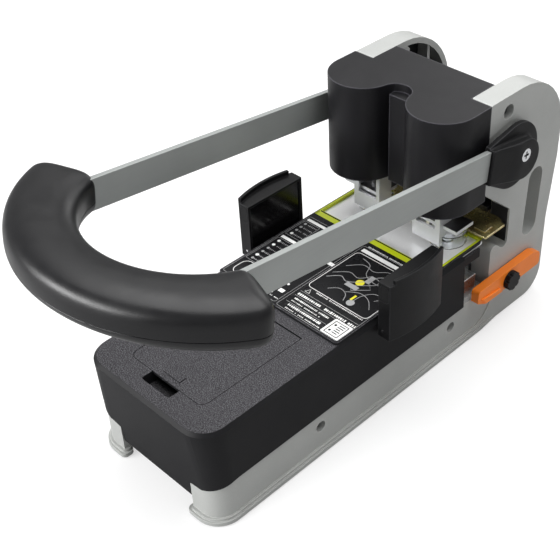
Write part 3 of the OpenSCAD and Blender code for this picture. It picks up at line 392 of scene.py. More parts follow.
# Each finish has its colour and roughness first
mats = {
    "casting": castingPaint(),
    "cover": coverPlastic(),
    # The head's, the caps' and the guides' strong edge factors paint a highlight along their edges
    "head": moulded("headBlack", (0.0072, 0.007, 0.0082), 0.4, grain=0.0007, depth=0.00005, gloss=0.22,
                    mottle=0.14, edge=9.0, worn=0.0016),
    "capBlack": moulded("capBlack", (0.0065, 0.0065, 0.007), 0.42, grain=0.0007, depth=0.00004, gloss=0.14,
                        edge=6.0),
    "guide": moulded("guideBlack", (0.006, 0.006, 0.0065), 0.36, grain=0.0011, depth=0.00004, gloss=0.16,
                     edge=4.0),
    "gloss": moulded("glossBlack", (0.0035, 0.0035, 0.0038), 0.2, gloss=0.3, mottle=0.1, edge=1.0),
    # Painted shade: a dark finish for the sheets in the castings' pocket and on the jaw's face
    "pocket": moulded("pocketShade", (0.012, 0.012, 0.0125), 0.75, grain=0.0008, depth=0.00005, gloss=0.2,
                      mottle=0.2, edge=1.0),
    "grip": moulded("gripBlack", (0.0042, 0.0042, 0.005), 0.35, grain=0.001, depth=0.00006, gloss=0.38,
                    edge=1.0),
    "arm": metal("armSteel", (0.31, 0.325, 0.318), 0.42, stretch=(1, 0.04, 1), scratch=0.000006,
                 mottle=0.04, metallic=0.25),
    "steel": metal("brushedSteel", (0.66, 0.67, 0.69), 0.3, stretch=(0.05, 1, 1)),
    "bed": metal("bedSteel", (0.95, 0.955, 0.965), 0.2, scratch=0.000002, mottle=0.03, metallic=0.2),
    "satin": metal("satinSteel", (0.56, 0.57, 0.585), 0.36, scratch=0.000002, mottle=0.08, metallic=0.45),
    "dark_steel": metal("darkSteel", (0.13, 0.13, 0.135), 0.4),
    "bright": metal("brightSteel", (0.86, 0.87, 0.89), 0.13),
    "zinc": zincFilm(),
    "orange": moulded("orangePlastic", (0.9, 0.22, 0.02), 0.38, grain=0.0012, depth=0.00003, gloss=0.45,
                      mottle=0.05, edge=1.15),
    "label": moulded("printBlack", (0.011, 0.011, 0.012), 0.27, gloss=0.09),
    "white": moulded("printWhite", (0.8, 0.8, 0.79), 0.3, gloss=0.45, mottle=0.03, edge=1.0),
    "lineGrey": moulded("printGrey", (0.34, 0.34, 0.345), 0.3, gloss=0.45, mottle=0.05, edge=1.0),
    "green": moulded("printGreen", (0.5, 0.58, 0.012), 0.3, gloss=0.45, mottle=0.04, edge=1.0),
    "yellow": moulded("printYellow", (0.72, 0.66, 0.03), 0.3, gloss=0.45, mottle=0.04, edge=1.0),
    "clear": clearPlastic(),
    "ivory": moulded("ivoryPlastic", (0.72, 0.68, 0.56), 0.45, grain=0.0012, depth=0.00003, mottle=0.05,
                     edge=1.1),
    "bronze": metal("bronze", (0.5, 0.33, 0.14), 0.35),
    "rubber": moulded("rubber", (0.015, 0.015, 0.015), 0.7, grain=0.0008, depth=0.00008),
}
print("stage: materials made")


# Ways to make and finish a piece

slotOf = {s["node"]: s["material_slot"] for s in frame["record"]["subparts"]}
bodyOf = {n: b for b, ns in frame["record"]["behaviour"]["bodies"].items() for n in ns}


def camel(name):
    head, *rest = name.split("_")
    return head + "".join(word.capitalize() for word in rest)


# Smooth faces with sharp edges past an angle, and normals weighted by the faces' sizes
def finishMesh(obj, mat, angle):
    obj.data.shade_smooth()
    obj.data.set_sharp_from_angle(angle=math.radians(angle))
    obj.data.materials.clear()
    obj.data.materials.append(mat)
    weighted = obj.modifiers.new("weighted", "WEIGHTED_NORMAL")
    weighted.keep_sharp = True
    weighted.weight = 60


def soften(obj, width, segments=3, angle=40):
    bevel = obj.modifiers.new("softEdges", "BEVEL")
    bevel.width = width * mm
    bevel.segments = segments
    bevel.limit_method = "ANGLE"
    bevel.angle_limit = math.radians(angle)
    bevel.use_clamp_overlap = True


def pieceFrom(bm, name):
    mesh = bpy.data.meshes.new(name + "Mesh")
    bm.to_mesh(mesh)
    bm.free()
    obj = bpy.data.objects.new(name, mesh)
    bpy.context.scene.collection.objects.link(obj)
    return obj


# Gives a finished piece its material, its place in the machine and the nodes that it stands for
def settle(obj, mat, body, nodes=(), angle=30):
    finishMesh(obj, mats[mat], angle)
    if nodes:
        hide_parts(*nodes)
    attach(obj, body)
    return obj


# A flat outline raised between two levels; put turns (a, b, level) into a point
def prism(bm, outline, low, high, put):
    bottom = [bm.verts.new(put(a, b, low)) for a, b in outline]
    top = [bm.verts.new(put(a, b, high)) for a, b in outline]
    n = len(outline)
    faces = [bm.faces.new(bottom[::-1]), bm.faces.new(top)]
    for i in range(n):
        faces.append(bm.faces.new((bottom[i], bottom[(i + 1) % n], top[(i + 1) % n], top[i])))
    bmesh.ops.recalc_face_normals(bm, faces=faces)


# A closed strip that follows a line of points at half width w
def ribbon(bm, points, w, low, high, put, closed=False):
    n = len(points)
    sides = ([], [])
    for i, (a, b) in enumerate(points):
        before = points[(i - 1) % n] if closed or i > 0 else points[i]
        after = points[(i + 1) % n] if closed or i < n - 1 else points[i]
        d = Vector((after[0] - before[0], after[1] - before[1])).normalized()
        sides[0].append((a - d.y * w, b + d.x * w))
        sides[1].append((a + d.y * w, b - d.x * w))
    if not closed:
        prism(bm, sides[1] + sides[0][::-1], low, high, put)
        return
    rings = [[bm.verts.new(put(a, b, z)) for a, b in side] for side in sides for z in (low, high)]
    faces = []
    for i in range(n):
        j = (i + 1) % n
        for p, q in ((0, 1), (1, 3), (3, 2), (2, 0)):
            faces.append(bm.faces.new((rings[p][i], rings[p][j], rings[q][j], rings[q][i])))
    bmesh.ops.recalc_face_normals(bm, faces=faces)


def roundedBox(x0, x1, y0, y1, r, steps=6):
    points = []
    corners = ((x1 - r, y1 - r), (x0 + r, y1 - r), (x0 + r, y0 + r), (x1 - r, y0 + r))
    for turn, (cx, cy) in enumerate(corners):
        for i in range(steps + 1):
            a = math.radians(90 * (turn + i / steps))
            points.append((cx + r * math.cos(a), cy + r * math.sin(a)))
    return points


def circle(cx, cy, r, steps=24):
    return [(cx + r * math.cos(2 * math.pi * i / steps), cy + r * math.sin(2 * math.pi * i / steps))
            for i in range(steps)]


# Carried-over nodes: a merged copy with softened edges stands for each

dressing = {
    "merge": 0.00001,  # metres
    "flatAngle": math.radians(0.5),
    "sharpAngle": 40,
}
# Width of the softened edges, in millimetres
softWidth = {
    "default": 0.4,
    "left_frame": 1.2,
    "right_frame": 1.2,
    "base_cover": 0.8,
    "head_cover": 0.8,
    "left_guide": 0.5,
    "right_guide": 0.5,
    "label_sheet": 0.05,
    "bed_plate": 0.3,
    "lock_lever": 0.9,
    "hatch": 0.3,
    "guide_pinion": 0.1,
    "pivot_screws": 0.25,
}
# Nodes with a finish other than their slot's
nodeMat = {
    "head_cover": "head",
    "rear_cover": "head",
    "bed_plate": "bed",
    "left_punch_block": "satin",
    "right_punch_block": "satin",
    "left_guide": "guide",
    "right_guide": "guide",
    "lock_knob": "guide",
}
ownPieces = ("grip_upper", "grip_lower", "left_pivot_cap", "right_pivot_cap", "stop_clips")


# Small corrections of a node's copy, vertex by vertex, in machine millimetres

# The castings' boss is slimmer under the cap
boss = {
    "face": 67.9,
    "solidR": 27.0,
    "slack": 0.3,
    "slimR": 18.5,
}


def slimBoss(x, y, z):
    away = fromPivot(y, z)
    if abs(x) < boss["face"] or abs(away - boss["solidR"]) > boss["slack"]:
        return footTop(x, y, z)
    k = boss["slimR"] / away
    return x, place["pivotY"] + (y - place["pivotY"]) * k, place["pivotZ"] + (z - place["pivotZ"]) * k


# The front foot's top rises where it goes round the corner from the front to the side
foot = {
    "frontTop": 32.2,
    "rise": 8.8,
    "power": 0.85,
    "solidTop": (30, 39),  # the solid's own points lie between these levels
    "inner": 49,
    "back": 15.6,
    "sideFrom": 15.4,
    "centre": (50, 15.5),
}


# Its level, by the angle from the front
def footLevel(angle):
    return foot["frontTop"] + foot["rise"] * (angle / 90) ** foot["power"]


def footTop(x, y, z):
    low, high = foot["solidTop"]
    if not (low < z < high and abs(x) > foot["inner"] and y < foot["back"]):
        return x, y, z
    cx, cy = foot["centre"]
    angle = 90 if y > foot["sideFrom"] else math.degrees(math.atan2(abs(x) - cx, cy - y))
    return x, y, footLevel(between(angle, 0, 90))


# The cover's lower corner: as round as its upper one, and level with the foot
skirt = {
    "solid": (28, 40),  # as above
    "inner": 50,
    "back": 14,
    # the solid's walls there, told apart by the distance from the outer one's centre
    "outerWall": (60.2, 7.5, 17.0),
    "innerWall": (57.2, 9.3, 13.5),
    "parting": 7.9,
    "centre": (52, 15.7),
    "gap": 0.2,
}


def roundSkirt(x, y, z):
    low, high = skirt["solid"]
    if not (low < z < high and abs(x) > skirt["inner"] and y < skirt["back"]):
        return x, y, z
    cx, cy, r = skirt["outerWall"]
    if math.hypot(abs(x) - cx, y - cy) <= skirt["parting"]:
        cx, cy, r = skirt["innerWall"]
    angle = between(math.degrees(math.atan2(abs(x) - cx, cy - y)), 0, 90)
    q = math.radians(angle)
    cx, cy = skirt["centre"]
    return math.copysign(cx + r * math.sin(q), x), cy - r * math.cos(q), footLevel(angle) + skirt["gap"]


# The lock lever is slimmer than the solid, all but its hub
lock = {
    "hub": (322.5, 44.2, 7.0),
    "under": {"from": 42, "run": 6, "rise": 4.8},
    "front": {"from": 300, "run": 18, "back": 5.8},
    "rear": {"from": 355, "forward": 3},
    "top": {"from": 49, "rise": 0.8},
}


def slimLock(x, y, z):
    hubY, hubZ, keep = lock["hub"]
    if math.hypot(y - hubY, z - hubZ) < keep:
        return x, y, z
    under, front, rear, top = lock["under"], lock["front"], lock["rear"], lock["top"]
    dz = under["rise"] * between((under["from"] - z) / under["run"], 0, 1)
    dy = front["back"] * between((front["from"] - y) / front["run"], 0, 1)
    return (x, y + dy - (rear["forward"] if y > rear["from"] else 0),
            z + dz + (top["rise"] if z > top["from"] else 0))


# The stop's plate reaches a little past the outer faces of the castings
stopPlate = {
    "edge": 65,
    "low": 97,
    "half": 69.0,
}


def widenStop(x, y, z):
    onEdge = abs(x) > stopPlate["edge"] and z > stopPlate["low"]
    return (math.copysign(stopPlate["half"], x) if onEdge else x), y, z


corrections = {
    "left_frame": slimBoss,
    "right_frame": slimBoss,
    "base_cover": roundSkirt,
    "lock_lever": slimLock,
    "rear_stop": widenStop,
}


# Faces of a node in dark steel, told by their middle and normal: a painted dark reflection on the punch
# blocks' shelf top, and painted shade in the pivot screws' cross recess

paintedDark = {
    "facing": 0.9,
    "shelf": (114, 116),
    "screwFace": 84.4,
    "screwR": 4.5,
}


# painted reflection: the shelf top in dark steel stands for the dark head mirrored in it
def shelfTop(x, y, z, normal):
    low, high = paintedDark["shelf"]
    return normal.z > paintedDark["facing"] and low < z < high


# painted shade: the cross recess in dark steel
def crossRecess(x, y, z, normal):
    return abs(x) < paintedDark["screwFace"] and fromPivot(y, z) < paintedDark["screwR"]


paintedDarkTests = {
    "left_punch_block": shelfTop,
    "right_punch_block": shelfTop,
    "pivot_screws": crossRecess,
}


def dressNode(node):
    bm = bmesh.new()
    bm.from_mesh(frame["nodes"][node].data)
    bmesh.ops.remove_doubles(bm, verts=bm.verts, dist=dressing["merge"])
    bmesh.ops.dissolve_limit(bm, angle_limit=dressing["flatAngle"], verts=bm.verts, edges=bm.edges)
    if node in corrections:
        for v in bm.verts:
            v.co = at(*corrections[node](v.co.x / mm, v.co.y / mm + place["originY"], v.co.z / mm))
    obj = pieceFrom(bm, camel(node) + "Piece")
    soften(obj, softWidth.get(node, softWidth["default"]))
    slot = slotOf[node]
    settle(obj, nodeMat.get(node, slot), bodyOf[node], (node,), dressing["sharpAngle"])
    if node in paintedDarkTests:
        # Painted light: the chosen faces get dark steel as painted reflection and painted shade
        obj.data.materials.append(mats["dark_steel"])
        for face in obj.data.polygons:
            x, y, z = face.center / mm
            if paintedDarkTests[node](x, y + place["originY"], z, face.normal):
                face.material_index = 1


for node in frame["nodes"]:
    if node not in ownPieces:
        dressNode(node)
print("stage: nodes dressed")


# Grip: two shells swept along part of an ellipse, parted by a fine seam

grip = {
    "a": 103.6,  # the ellipse's half widths, across and towards the front
    "b": 100.0,
    "reach": 256.9,  # from the pivot to its centre
    "start": 18.6,  # degrees along it to the end of the grip
    "dome": 11.0,
    "domePower": 0.46,
    "domeSpacing": 1.2,
    "domeRings": 14,
    "thinnest": 1.2,  # least height of an end ring, as a multiple of the seam's level
    "rings": 80,
    "sides": 44,
    "widthEnd": 25.2,
    "widthFront": 23.3,
    "height": 16.6,
    "powerEnd": 4.0,
    "powerFront": 2.6,
    "seam": -5.0,
    "seamGap": 0.12,
    "seamRound": 0.5,
    "seamLimit": 0.98,
}


# A cosine or sine with its own power, which squares a circle's corners
def squared(value, power):
    return math.copysign(abs(value) ** power, value)


# A shell's ring at an angle along the ellipse, at a share of its full size
def gripRing(turn, share, upper):
    g = grip
    t = math.radians(turn)
    t0 = math.sin(math.radians(g["start"]))
    blend = (math.sin(t) - t0) / (1 - t0)
    e = g["powerEnd"] + (g["powerFront"] - g["powerEnd"]) * blend
    w = (g["widthEnd"] + (g["widthFront"] - g["widthEnd"]) * blend) * share
    h = g["height"] * share
    side = Vector((g["b"] * math.cos(t), -g["a"] * math.sin(t))).normalized()
    middle = Vector((g["a"] * math.cos(t), -g["reach"] - g["b"] * math.sin(t)))
    seam = g["seam"] + (g["seamGap"] if upper else -g["seamGap"])
    lip = g["seamRound"]
    # Angle at which the shell meets the rounding of its seam edge
    level = max(-g["seamLimit"] * h, seam + (lip if upper else -lip))
    s = math.asin(squared(level / h, e / 2))
    a, b = (s, math.pi - s) if upper else (math.pi - s, 2 * math.pi + s)
    ring = []
    for i in range(g["sides"]):
        q = a + (b - a) * i / (g["sides"] - 1)
        ring.append((w * squared(math.cos(q), 2 / e), h * squared(math.sin(q), 2 / e)))

    # The rounded edges down to the seam's flat
    def edge(u, f):
        return u - math.copysign(lip * (1 - math.cos(f)), u), level + (seam - level) * math.sin(f)

    turns = [math.radians(f) for f in (30, 60, 90)]
    tail = [edge(ring[-1][0], f) for f in turns]
    head = [edge(ring[0][0], f) for f in reversed(turns)]
    return [onLever(middle.x + side.x * u, middle.y + side.y * u, z) for u, z in head + ring + tail]


def makeGrip(upper):
    g = grip
    sweep = math.degrees(g["dome"] / g["b"])
    stations = []
    for i in range(1, g["domeRings"]):
        f = math.radians(90 * (i / g["domeRings"]) ** g["domeSpacing"])
        stations.append((g["start"] + sweep * (1 - math.cos(f)), math.sin(f) ** g["domePower"]))
    ends = [(180 - t, k) for t, k in reversed(stations)]
    t0 = g["start"] + sweep
    stations += [(t0 + (180 - 2 * t0) * i / g["rings"], 1) for i in range(g["rings"] + 1)] + ends
    least = g["thinnest"] * abs(g["seam"]) + g["seamRound"]
    stations = [(t, k) for t, k in stations if k * g["height"] > least]
    bm = bmesh.new()
    rings = [[bm.verts.new(p) for p in gripRing(t, k, upper)] for t, k in stations]
    n = len(rings[0])
    for i in range(len(rings) - 1):
        for k in range(n):
            j = (k + 1) % n
            bm.faces.new((rings[i][k], rings[i + 1][k], rings[i + 1][j], rings[i][j]))
    bm.faces.new(rings[0])
    bm.faces.new(rings[-1][::-1])
    bmesh.ops.recalc_face_normals(bm, faces=bm.faces)
    name = "gripUpper" if upper else "gripLower"
    node = "grip_upper" if upper else "grip_lower"
    settle(pieceFrom(bm, name), "grip", bodyOf[node], (node,))


makeGrip(True)
makeGrip(False)
print("stage: grip made")


# Pivot caps: a drop-shaped flange, and on it a body that runs out to the straight front

cap = {
    "inner": 72.9,
    "flangeTop": 76.9,
    "outer": 84.9,
    "frontFall": 3.6,
    "fallFrom": -6.0,
    "length": 39.5,
    # circle's centre and radius, and the straight front's top and bottom
    "flange": (-2.2, -2.9, 27.9, 15.2, -15.6),
    "body": (0.4, -3.8, 17.0, 14.0, -15.0),
    "rim": 0.9,
    "shoulder": 0.3,
    "fillet": 3.2,
    "edge": 1.3,
    "steps": 96,
    "circleSteps": 120,
    "recessR": 5.75,
    "recessX": 82.2,
    "recessEdge": 0.4,
    "faceShares": (0.66, 0.33),  # rings on the face, between its edge and the recess
    "creep": 0.01,
    "parallel": 1e-9,
    "slack": 1e-6,
    "merge": 0.000002,  # metres
}


# A circle drawn out to the straight front
def capOutline(y, z, r, top, bottom):
    points = circle(y, z, r, cap["circleSteps"]) + [(-cap["length"], top), (-cap["length"], bottom)]
    return [points[i] for i in convex_hull_2d(points)]


# Distance from the pivot, in the direction a, to an outline
def reachOf(outline, a):
    dy, dz = math.cos(a), math.sin(a)
    best = 0
    for (y0, z0), (y1, z1) in zip(outline, outline[1:] + outline[:1]):
        ey, ez = y1 - y0, z1 - z0
        cross = dy * ez - dz * ey
        if abs(cross) < cap["parallel"]:
            continue
        along = (y0 * dz - z0 * dy) / cross
        if -cap["slack"] <= along <= 1 + cap["slack"]:
            best = max(best, (y0 * ez - z0 * ey) / cross)
    return best


# Level of the body's outer face, which falls towards the front
def capOuter(y):
    c = cap
    f = between((c["fallFrom"] - y) / (c["length"] + c["fallFrom"]), 0, 1)
    return c["outer"] - c["frontFall"] * f * f * (3 - 2 * f)


# The cap's section in the direction a, as distances from the pivot and levels outwards
def capSection(a, outlines):
    c = cap
    flange, body = (reachOf(outline, a) for outline in outlines)
    top, edge = c["flangeTop"], c["edge"]
    rim = min(c["rim"], flange - body)
    fillet = min(c["fillet"], flange - body - rim)
    section = [(flange, c["inner"]), (flange, top - c["rim"]),
               (flange - c["shoulder"] * rim, top - c["shoulder"]), (flange - rim, top)]
    # Each step of the fillet rises a little, so that no two of its points meet
    for f in (0, 22, 45, 68, 90):
        q = math.radians(f)
        rise = fillet * (1 - math.cos(q)) + c["creep"] * f / 90
        section.append((body + fillet * (1 - math.sin(q)), top + rise))
    high = capOuter(body * math.cos(a))
    for f in (0, 30, 60, 90):
        q = math.radians(f)
        section.append((body - edge * (1 - math.cos(q)), high - edge * (1 - math.sin(q))))
    inner = c["recessR"] + c["recessEdge"]
    for k in c["faceShares"]:
        r = inner + (body - edge - inner) * k
        section.append((r, capOuter(r * math.cos(a))))
    return section + [(inner, c["outer"]), (c["recessR"], c["outer"] - c["recessEdge"]),
                      (c["recessR"], c["recessX"])]


# Columns of points at even angles and at the corners of the straight front
def makeCap(side):
    c = cap
    bm = bmesh.new()
    parts = (c["flange"], c["body"])
    outlines = [capOutline(*part) for part in parts]
    even = {2 * math.pi * i / c["steps"] - math.pi for i in range(c["steps"])}
    corners = {math.atan2(z, -c["length"]) for part in parts for z in part[3:]}
    angles = sorted(even | corners)
    columns = []
    for a in angles:
        section = [(side * x, r * math.cos(a), r * math.sin(a)) for r, x in capSection(a, outlines)]
        columns.append([bm.verts.new(onLever(*point)) for point in section])
    rings = list(zip(*columns))
    n = len(angles)
    for low, high in zip(rings, rings[1:]):
        for i in range(n):
            j = (i + 1) % n
            bm.faces.new((low[i], low[j], high[j], high[i]))
    bm.faces.new(rings[0])
    bm.faces.new(rings[-1])
    bmesh.ops.remove_doubles(bm, verts=bm.verts, dist=c["merge"])
    bmesh.ops.recalc_face_normals(bm, faces=bm.faces)
    name = "leftPivotCap" if side < 0 else "rightPivotCap"
    node = "left_pivot_cap" if side < 0 else "right_pivot_cap"
    settle(pieceFrom(bm, name), "capBlack", bodyOf[node], (node,), 32)


makeCap(-1)
makeCap(1)
print("stage: pivot caps made")


# Print on the table: a line figure, rows of marks, bars and the green stripes

printing = {
    "low": 93.98,  # levels of the ink
    "high": 94.05,
    "lineRise": 0.02,
    "overprint": 0.04,
    "curveSteps": 8,
    "window": (-61.3, 61.3, 238.2, 295.0),
    "windowHalf": 0.2,
    "windowLow": 91.42,
}


# The value at a share t of the way from b to c, on a smooth line through all four
def smoothed(t, a, b, c, d):
    bend = (c - a) * t + (2 * a - 5 * b + 4 * c - d) * t * t + (3 * b - a - 3 * c + d) * t ** 3
    return 0.5 * (2 * b + bend)


# A smooth line through points
def curve(*points):
    line = []
    n = len(points)
    for i in range(n - 1):
        near = points[max(i - 1, 0)], points[i], points[i + 1], points[min(i + 2, n - 1)]
        for k in range(printing["curveSteps"]):
            line.append(tuple(smoothed(k / printing["curveSteps"], *values) for values in zip(*near)))
    return line + [points[-1]]


def box(x0, x1, y0, y1):
    return [(x0, y0), (x1, y0), (x1, y1), (x0, y1)]


# By ink: filled shapes, and lines with their half width and whether they close
prints = {
    "white": {
        "fills": [
            box(1.5, 40.5, 218.3, 222.3),
            box(-60.7, -34.0, 219.4, 222.4),
            box(-60.2, -34.0, 188.4, 191.6),
            box(-8.5, -1.2, 187.6, 191.4),
            box(-11.6, -6.6, 138.2, 142.0),
            roundedBox(44.8, 62.2, 126.6, 144.4, 1.2),
            circle(-10.6, 149.0, 1.1),
            circle(-56.8, 183.5, 1.5),
            circle(-56.5, 177.1, 1.5),
            circle(-56.5, 158.9, 1.6),
            circle(-56.8, 198.0, 1.5),
        ],
        "lines": [
            (roundedBox(0.8, 61.8, 158.0, 216.0, 4.0), 0.25, True),
            ([(7.0, 155.8), (9.3, 151.6), (4.7, 151.6)], 0.25, True),
            (roundedBox(-58.0, -36.0, 131.0, 149.0, 6.0), 0.25, True),
        ],
    },
    "lineGrey": {
        "fills": [circle(-56.4, 171.0, 1.3), circle(-56.4, 165.0, 1.3), circle(-56.2, 153.6, 1.3),
                  circle(-57.1, 204.0, 1.3), circle(-57.3, 209.3, 1.3), circle(-57.6, 214.7, 1.3),
                  circle(39.9, 164.8, 3.4), box(21.0, 33.0, 178.0, 182.5), box(30.5, 35.0, 190.5, 200.0)],
        "lines": [
            (curve((4, 176), (12, 184), (20, 182), (30, 190), (36, 202), (44, 207)), 0.3, False),
            (curve((4, 183), (14, 192), (24, 191), (31, 200)), 0.25, False),
            (curve((6, 196), (16, 206), (28, 205), (38, 212), (50, 210), (57, 200), (58, 188), (52, 178)),
             0.25, False),
            (curve((10, 212), (20, 209), (26, 198), (38, 194), (50, 196)), 0.25, False),
            (curve((28, 172), (38, 178), (48, 176), (56, 168)), 0.25, False),
            (curve((15, 166), (22, 172), (30, 170), (34, 163)), 0.25, False),
            (curve((40, 168), (41, 176), (46, 184), (55, 186)), 0.25, False),
            ([(26, 180), (37, 190), (41, 186), (30, 176)], 0.25, True),
            (circle(36, 195, 4.5), 0.25, True),
            (roundedBox(-62.4, -3.2, 127.0, 225.0, 2.0), 0.13, True),
            (roundedBox(-0.9, 62.6, 126.0, 225.0, 2.0), 0.13, True),
            ([(2.0, 150.0), (62.0, 150.0)], 0.12, False),
            ([(2.0, 143.6), (44.0, 143.6)], 0.12, False),
            ([(2.0, 134.4), (44.0, 134.4)], 0.12, False),
            (roundedBox(-61.0, -44.0, 150.5, 187.0, 1.0), 0.12, True),
            (roundedBox(-61.0, -44.0, 194.5, 218.0, 1.0), 0.12, True),
        ],
    },
    "yellow": {
        "fills": [circle(29.0, 187.5, 3.6), box(36.6, 38.6, 167.5, 174.0), box(44.5, 48.5, 196.5, 199.5)],
        "lines": [],
    },
    # On the white square: a page with two holes
    "label": {
        "fills": [circle(49.8, 138.6, 1.1), circle(49.8, 131.8, 1.1)]
                 + [box(52.4, end, y, y + 0.9) for y, end in ((139.6, 58.2), (137.4, 58.2), (135.2, 56.8),
                                                              (133.0, 58.2), (130.8, 57.4))],
        "lines": [(box(47.2, 59.8, 128.4, 142.2), 0.5, True)],
    },
    "green": {
        "fills": [
            box(-62.4, 62.4, 231.2, 236.6),
            box(-63.2, -61.6, 231.2, 296.6),
            box(61.6, 63.2, 231.2, 296.6),
            box(-63.2, 63.2, 295.3, 296.8),
        ],
        "lines": [],
    },
}


def makePrints():
    p = printing
    for mat, shapes in prints.items():
        bm = bmesh.new()
        high = p["high"] + (p["overprint"] if mat == "label" else 0)
        for fill in shapes["fills"]:
            prism(bm, fill, p["low"], high, at)
        for line, w, closed in shapes["lines"]:
            ribbon(bm, line, w, p["low"], high + p["lineRise"], at, closed)
        if mat == "green":
            # The window's edge, down to the bed
            ribbon(bm, box(*p["window"]), p["windowHalf"], p["windowLow"], p["high"], at, True)
        settle(pieceFrom(bm, "print" + mat.capitalize()), mat, bodyOf["label_sheet"], angle=20)


# Rows of short marks, made by nodes: a line of points, each with a plate of its own length

marks = {
    # shares of its length, depth and height that a mark keeps
    "least": (0.45, 0.75, 1),
    "most": (1, 1, 1),
    "kept": 0.9,  # share of the marks that are there
    "seed": 11,
    "dotSeed": 40,
    "dotSize": 1.5,
}
markRows = [
    # start x, y, number of marks, step, mark length, mark depth
    (3.6, 146.4, 30, 2.0, 1.7, 2.6),
    (13.5, 156.0, 32, 1.5, 1.1, 1.3),
    (5.4, 140.6, 24, 1.5, 1.2, 1.8),
    (5.4, 137.0, 20, 1.5, 1.1, 1.1),
    (5.2, 132.0, 20, 1.8, 1.5, 2.4),
    (7.6, 128.0, 24, 1.5, 1.1, 1.1),
    (3.2, 226.4, 30, 1.4, 1.1, 1.4),
    (-12.0, 131.0, 6, 1.5, 1.1, 0.9),
    (-34.0, 134.0, 14, 1.6, 1.2, 1.1),
]
greyLevels = (153.6, 159.0, 165.0, 171.0, 177.0, 183.4, 198.0, 204.0, 209.4, 214.8)
greyRows = [(-54.0, y, 6, 1.7, 0.9, 1.5) for y in greyLevels]
# start x, y, number of dots, step
dotRows = [(-22.0 + 4.6 * i, 155.0 + 2.5 * i, 5, 4.2) for i in range(3)]


def socketId(tree, name):
    items = tree.interface.items_tree
    return next(s.identifier for s in items if s.item_type == "SOCKET" and s.name == name)


def markTree(mat):
    tree = bpy.data.node_groups.new("markRow", "GeometryNodeTree")
    face = tree.interface
    face.new_socket("Geometry", in_out="OUTPUT", socket_type="NodeSocketGeometry")
    for name, kind, value in (("Start", "Vector", (0, 0, 0)), ("Step", "Vector", (0.002, 0, 0)),
                              ("Count", "Int", 10), ("Size", "Vector", (0.001, 0.001, 0.0001)),
                              ("Seed", "Int", 1)):
        face.new_socket(name, in_out="INPUT", socket_type="NodeSocket" + kind).default_value = value
    nodes, links = tree.nodes, tree.links
    given = nodes.new("NodeGroupInput")
    line = nodes.new("GeometryNodeMeshLine")
    links.new(given.outputs["Count"], line.inputs["Count"])
    links.new(given.outputs["Start"], line.inputs["Start Location"])
    links.new(given.outputs["Step"], line.inputs["Offset"])
    plate = nodes.new("GeometryNodeMeshCube")
    links.new(given.outputs["Size"], plate.inputs["Size"])
    vary = nodes.new("FunctionNodeRandomValue")
    vary.data_type = "FLOAT_VECTOR"
    vary.inputs["Min"].default_value = marks["least"]
    vary.inputs["Max"].default_value = marks["most"]
    links.new(given.outputs["Seed"], vary.inputs["Seed"])
    keep = nodes.new("FunctionNodeRandomValue")
    keep.data_type = "BOOLEAN"
    keep.inputs["Probability"].default_value = marks["kept"]
    links.new(given.outputs["Seed"], keep.inputs["Seed"])
    put = nodes.new("GeometryNodeInstanceOnPoints")
    links.new(line.outputs["Mesh"], put.inputs["Points"])
    links.new(plate.outputs["Mesh"], put.inputs["Instance"])
    links.new(vary.outputs["Value"], put.inputs["Scale"])
    links.new(keep.outputs[3], put.inputs["Selection"])  # output 3 is the yes or no
    real = nodes.new("GeometryNodeRealizeInstances")
    links.new(put.outputs["Instances"], real.inputs["Geometry"])
    paint = nodes.new("GeometryNodeSetMaterial")
    paint.inputs["Material"].default_value = mat
    links.new(real.outputs["Geometry"], paint.inputs["Geometry"])
    result = nodes.new("NodeGroupOutput")
    links.new(paint.outputs["Geometry"], result.inputs["Geometry"])
    return tree


# Runs a tree for each set of values and joins the results in one bmesh
def runTree(tree, rows):
    bm = bmesh.new()
    for values in rows:
        carrier = bpy.data.objects.new("carrier", bpy.data.meshes.new("carrierMesh"))
        bpy.context.scene.collection.objects.link(carrier)
        modifier = carrier.modifiers.new("rows", "NODES")
        modifier.node_group = tree
        for name, value in values.items():
            modifier[socketId(tree, name)] = value
        graph = bpy.context.evaluated_depsgraph_get()
        graph.update()
        mesh = bpy.data.meshes.new_from_object(carrier.evaluated_get(graph))
        bm.from_mesh(mesh)
        bpy.data.meshes.remove(mesh)
        bpy.data.objects.remove(carrier)
    return bm


def makeRows():
    p = printing
    mid = (p["low"] + p["high"]) / 2
    thick = (p["high"] - p["low"]) * mm
    dots = [{"Start": at(x, y, mid), "Step": (0, step * mm, 0), "Count": count,
             "Size": (marks["dotSize"] * mm, marks["dotSize"] * mm, thick), "Seed": marks["dotSeed"] + i}
            for i, (x, y, count, step) in enumerate(dotRows)]
    for name, mat, table, more in (("printMarks", "white", markRows, dots),
                                   ("printGreyMarks", "lineGrey", greyRows, [])):
        rows = [{"Start": at(x, y, mid), "Step": (step * mm, 0, 0), "Count": count,
                 "Size": (size * mm, depth * mm, thick), "Seed": marks["seed"] + i}
                for i, (x, y, count, step, size, depth) in enumerate(table)]
        made = runTree(markTree(mats[mat]), rows + more)
        settle(pieceFrom(made, name), mat, bodyOf["label_sheet"], angle=20)


makePrints()
makeRows()
print("stage: print made")


# Small raised marks on the hatch lid

hatchMarks = {
    "high": 0.14,
    "sunk": 0.1,
    "half": 0.28,
    "lines": [[(37.4, 37.2), (0.6, 39.5)], [(0.6, 39.5), (3.0, 57.8)]],
    "tab": [(-1.3, 16.0), (-5.5, 24.6), (5.6, 27.0), (8.6, 20.5)],
}


def makeHatchMarks():
    h = hatchMarks
    low, high = place["coverTop"] - h["sunk"], place["coverTop"] + h["high"]
    bm = bmesh.new()
    for line in h["lines"]:
        ribbon(bm, line, h["half"], low, high, at)
    ribbon(bm, h["tab"], h["half"], low, high, at, True)
    settle(pieceFrom(bm, "hatchLines"), "cover", bodyOf["hatch"], angle=20)


makeHatchMarks()


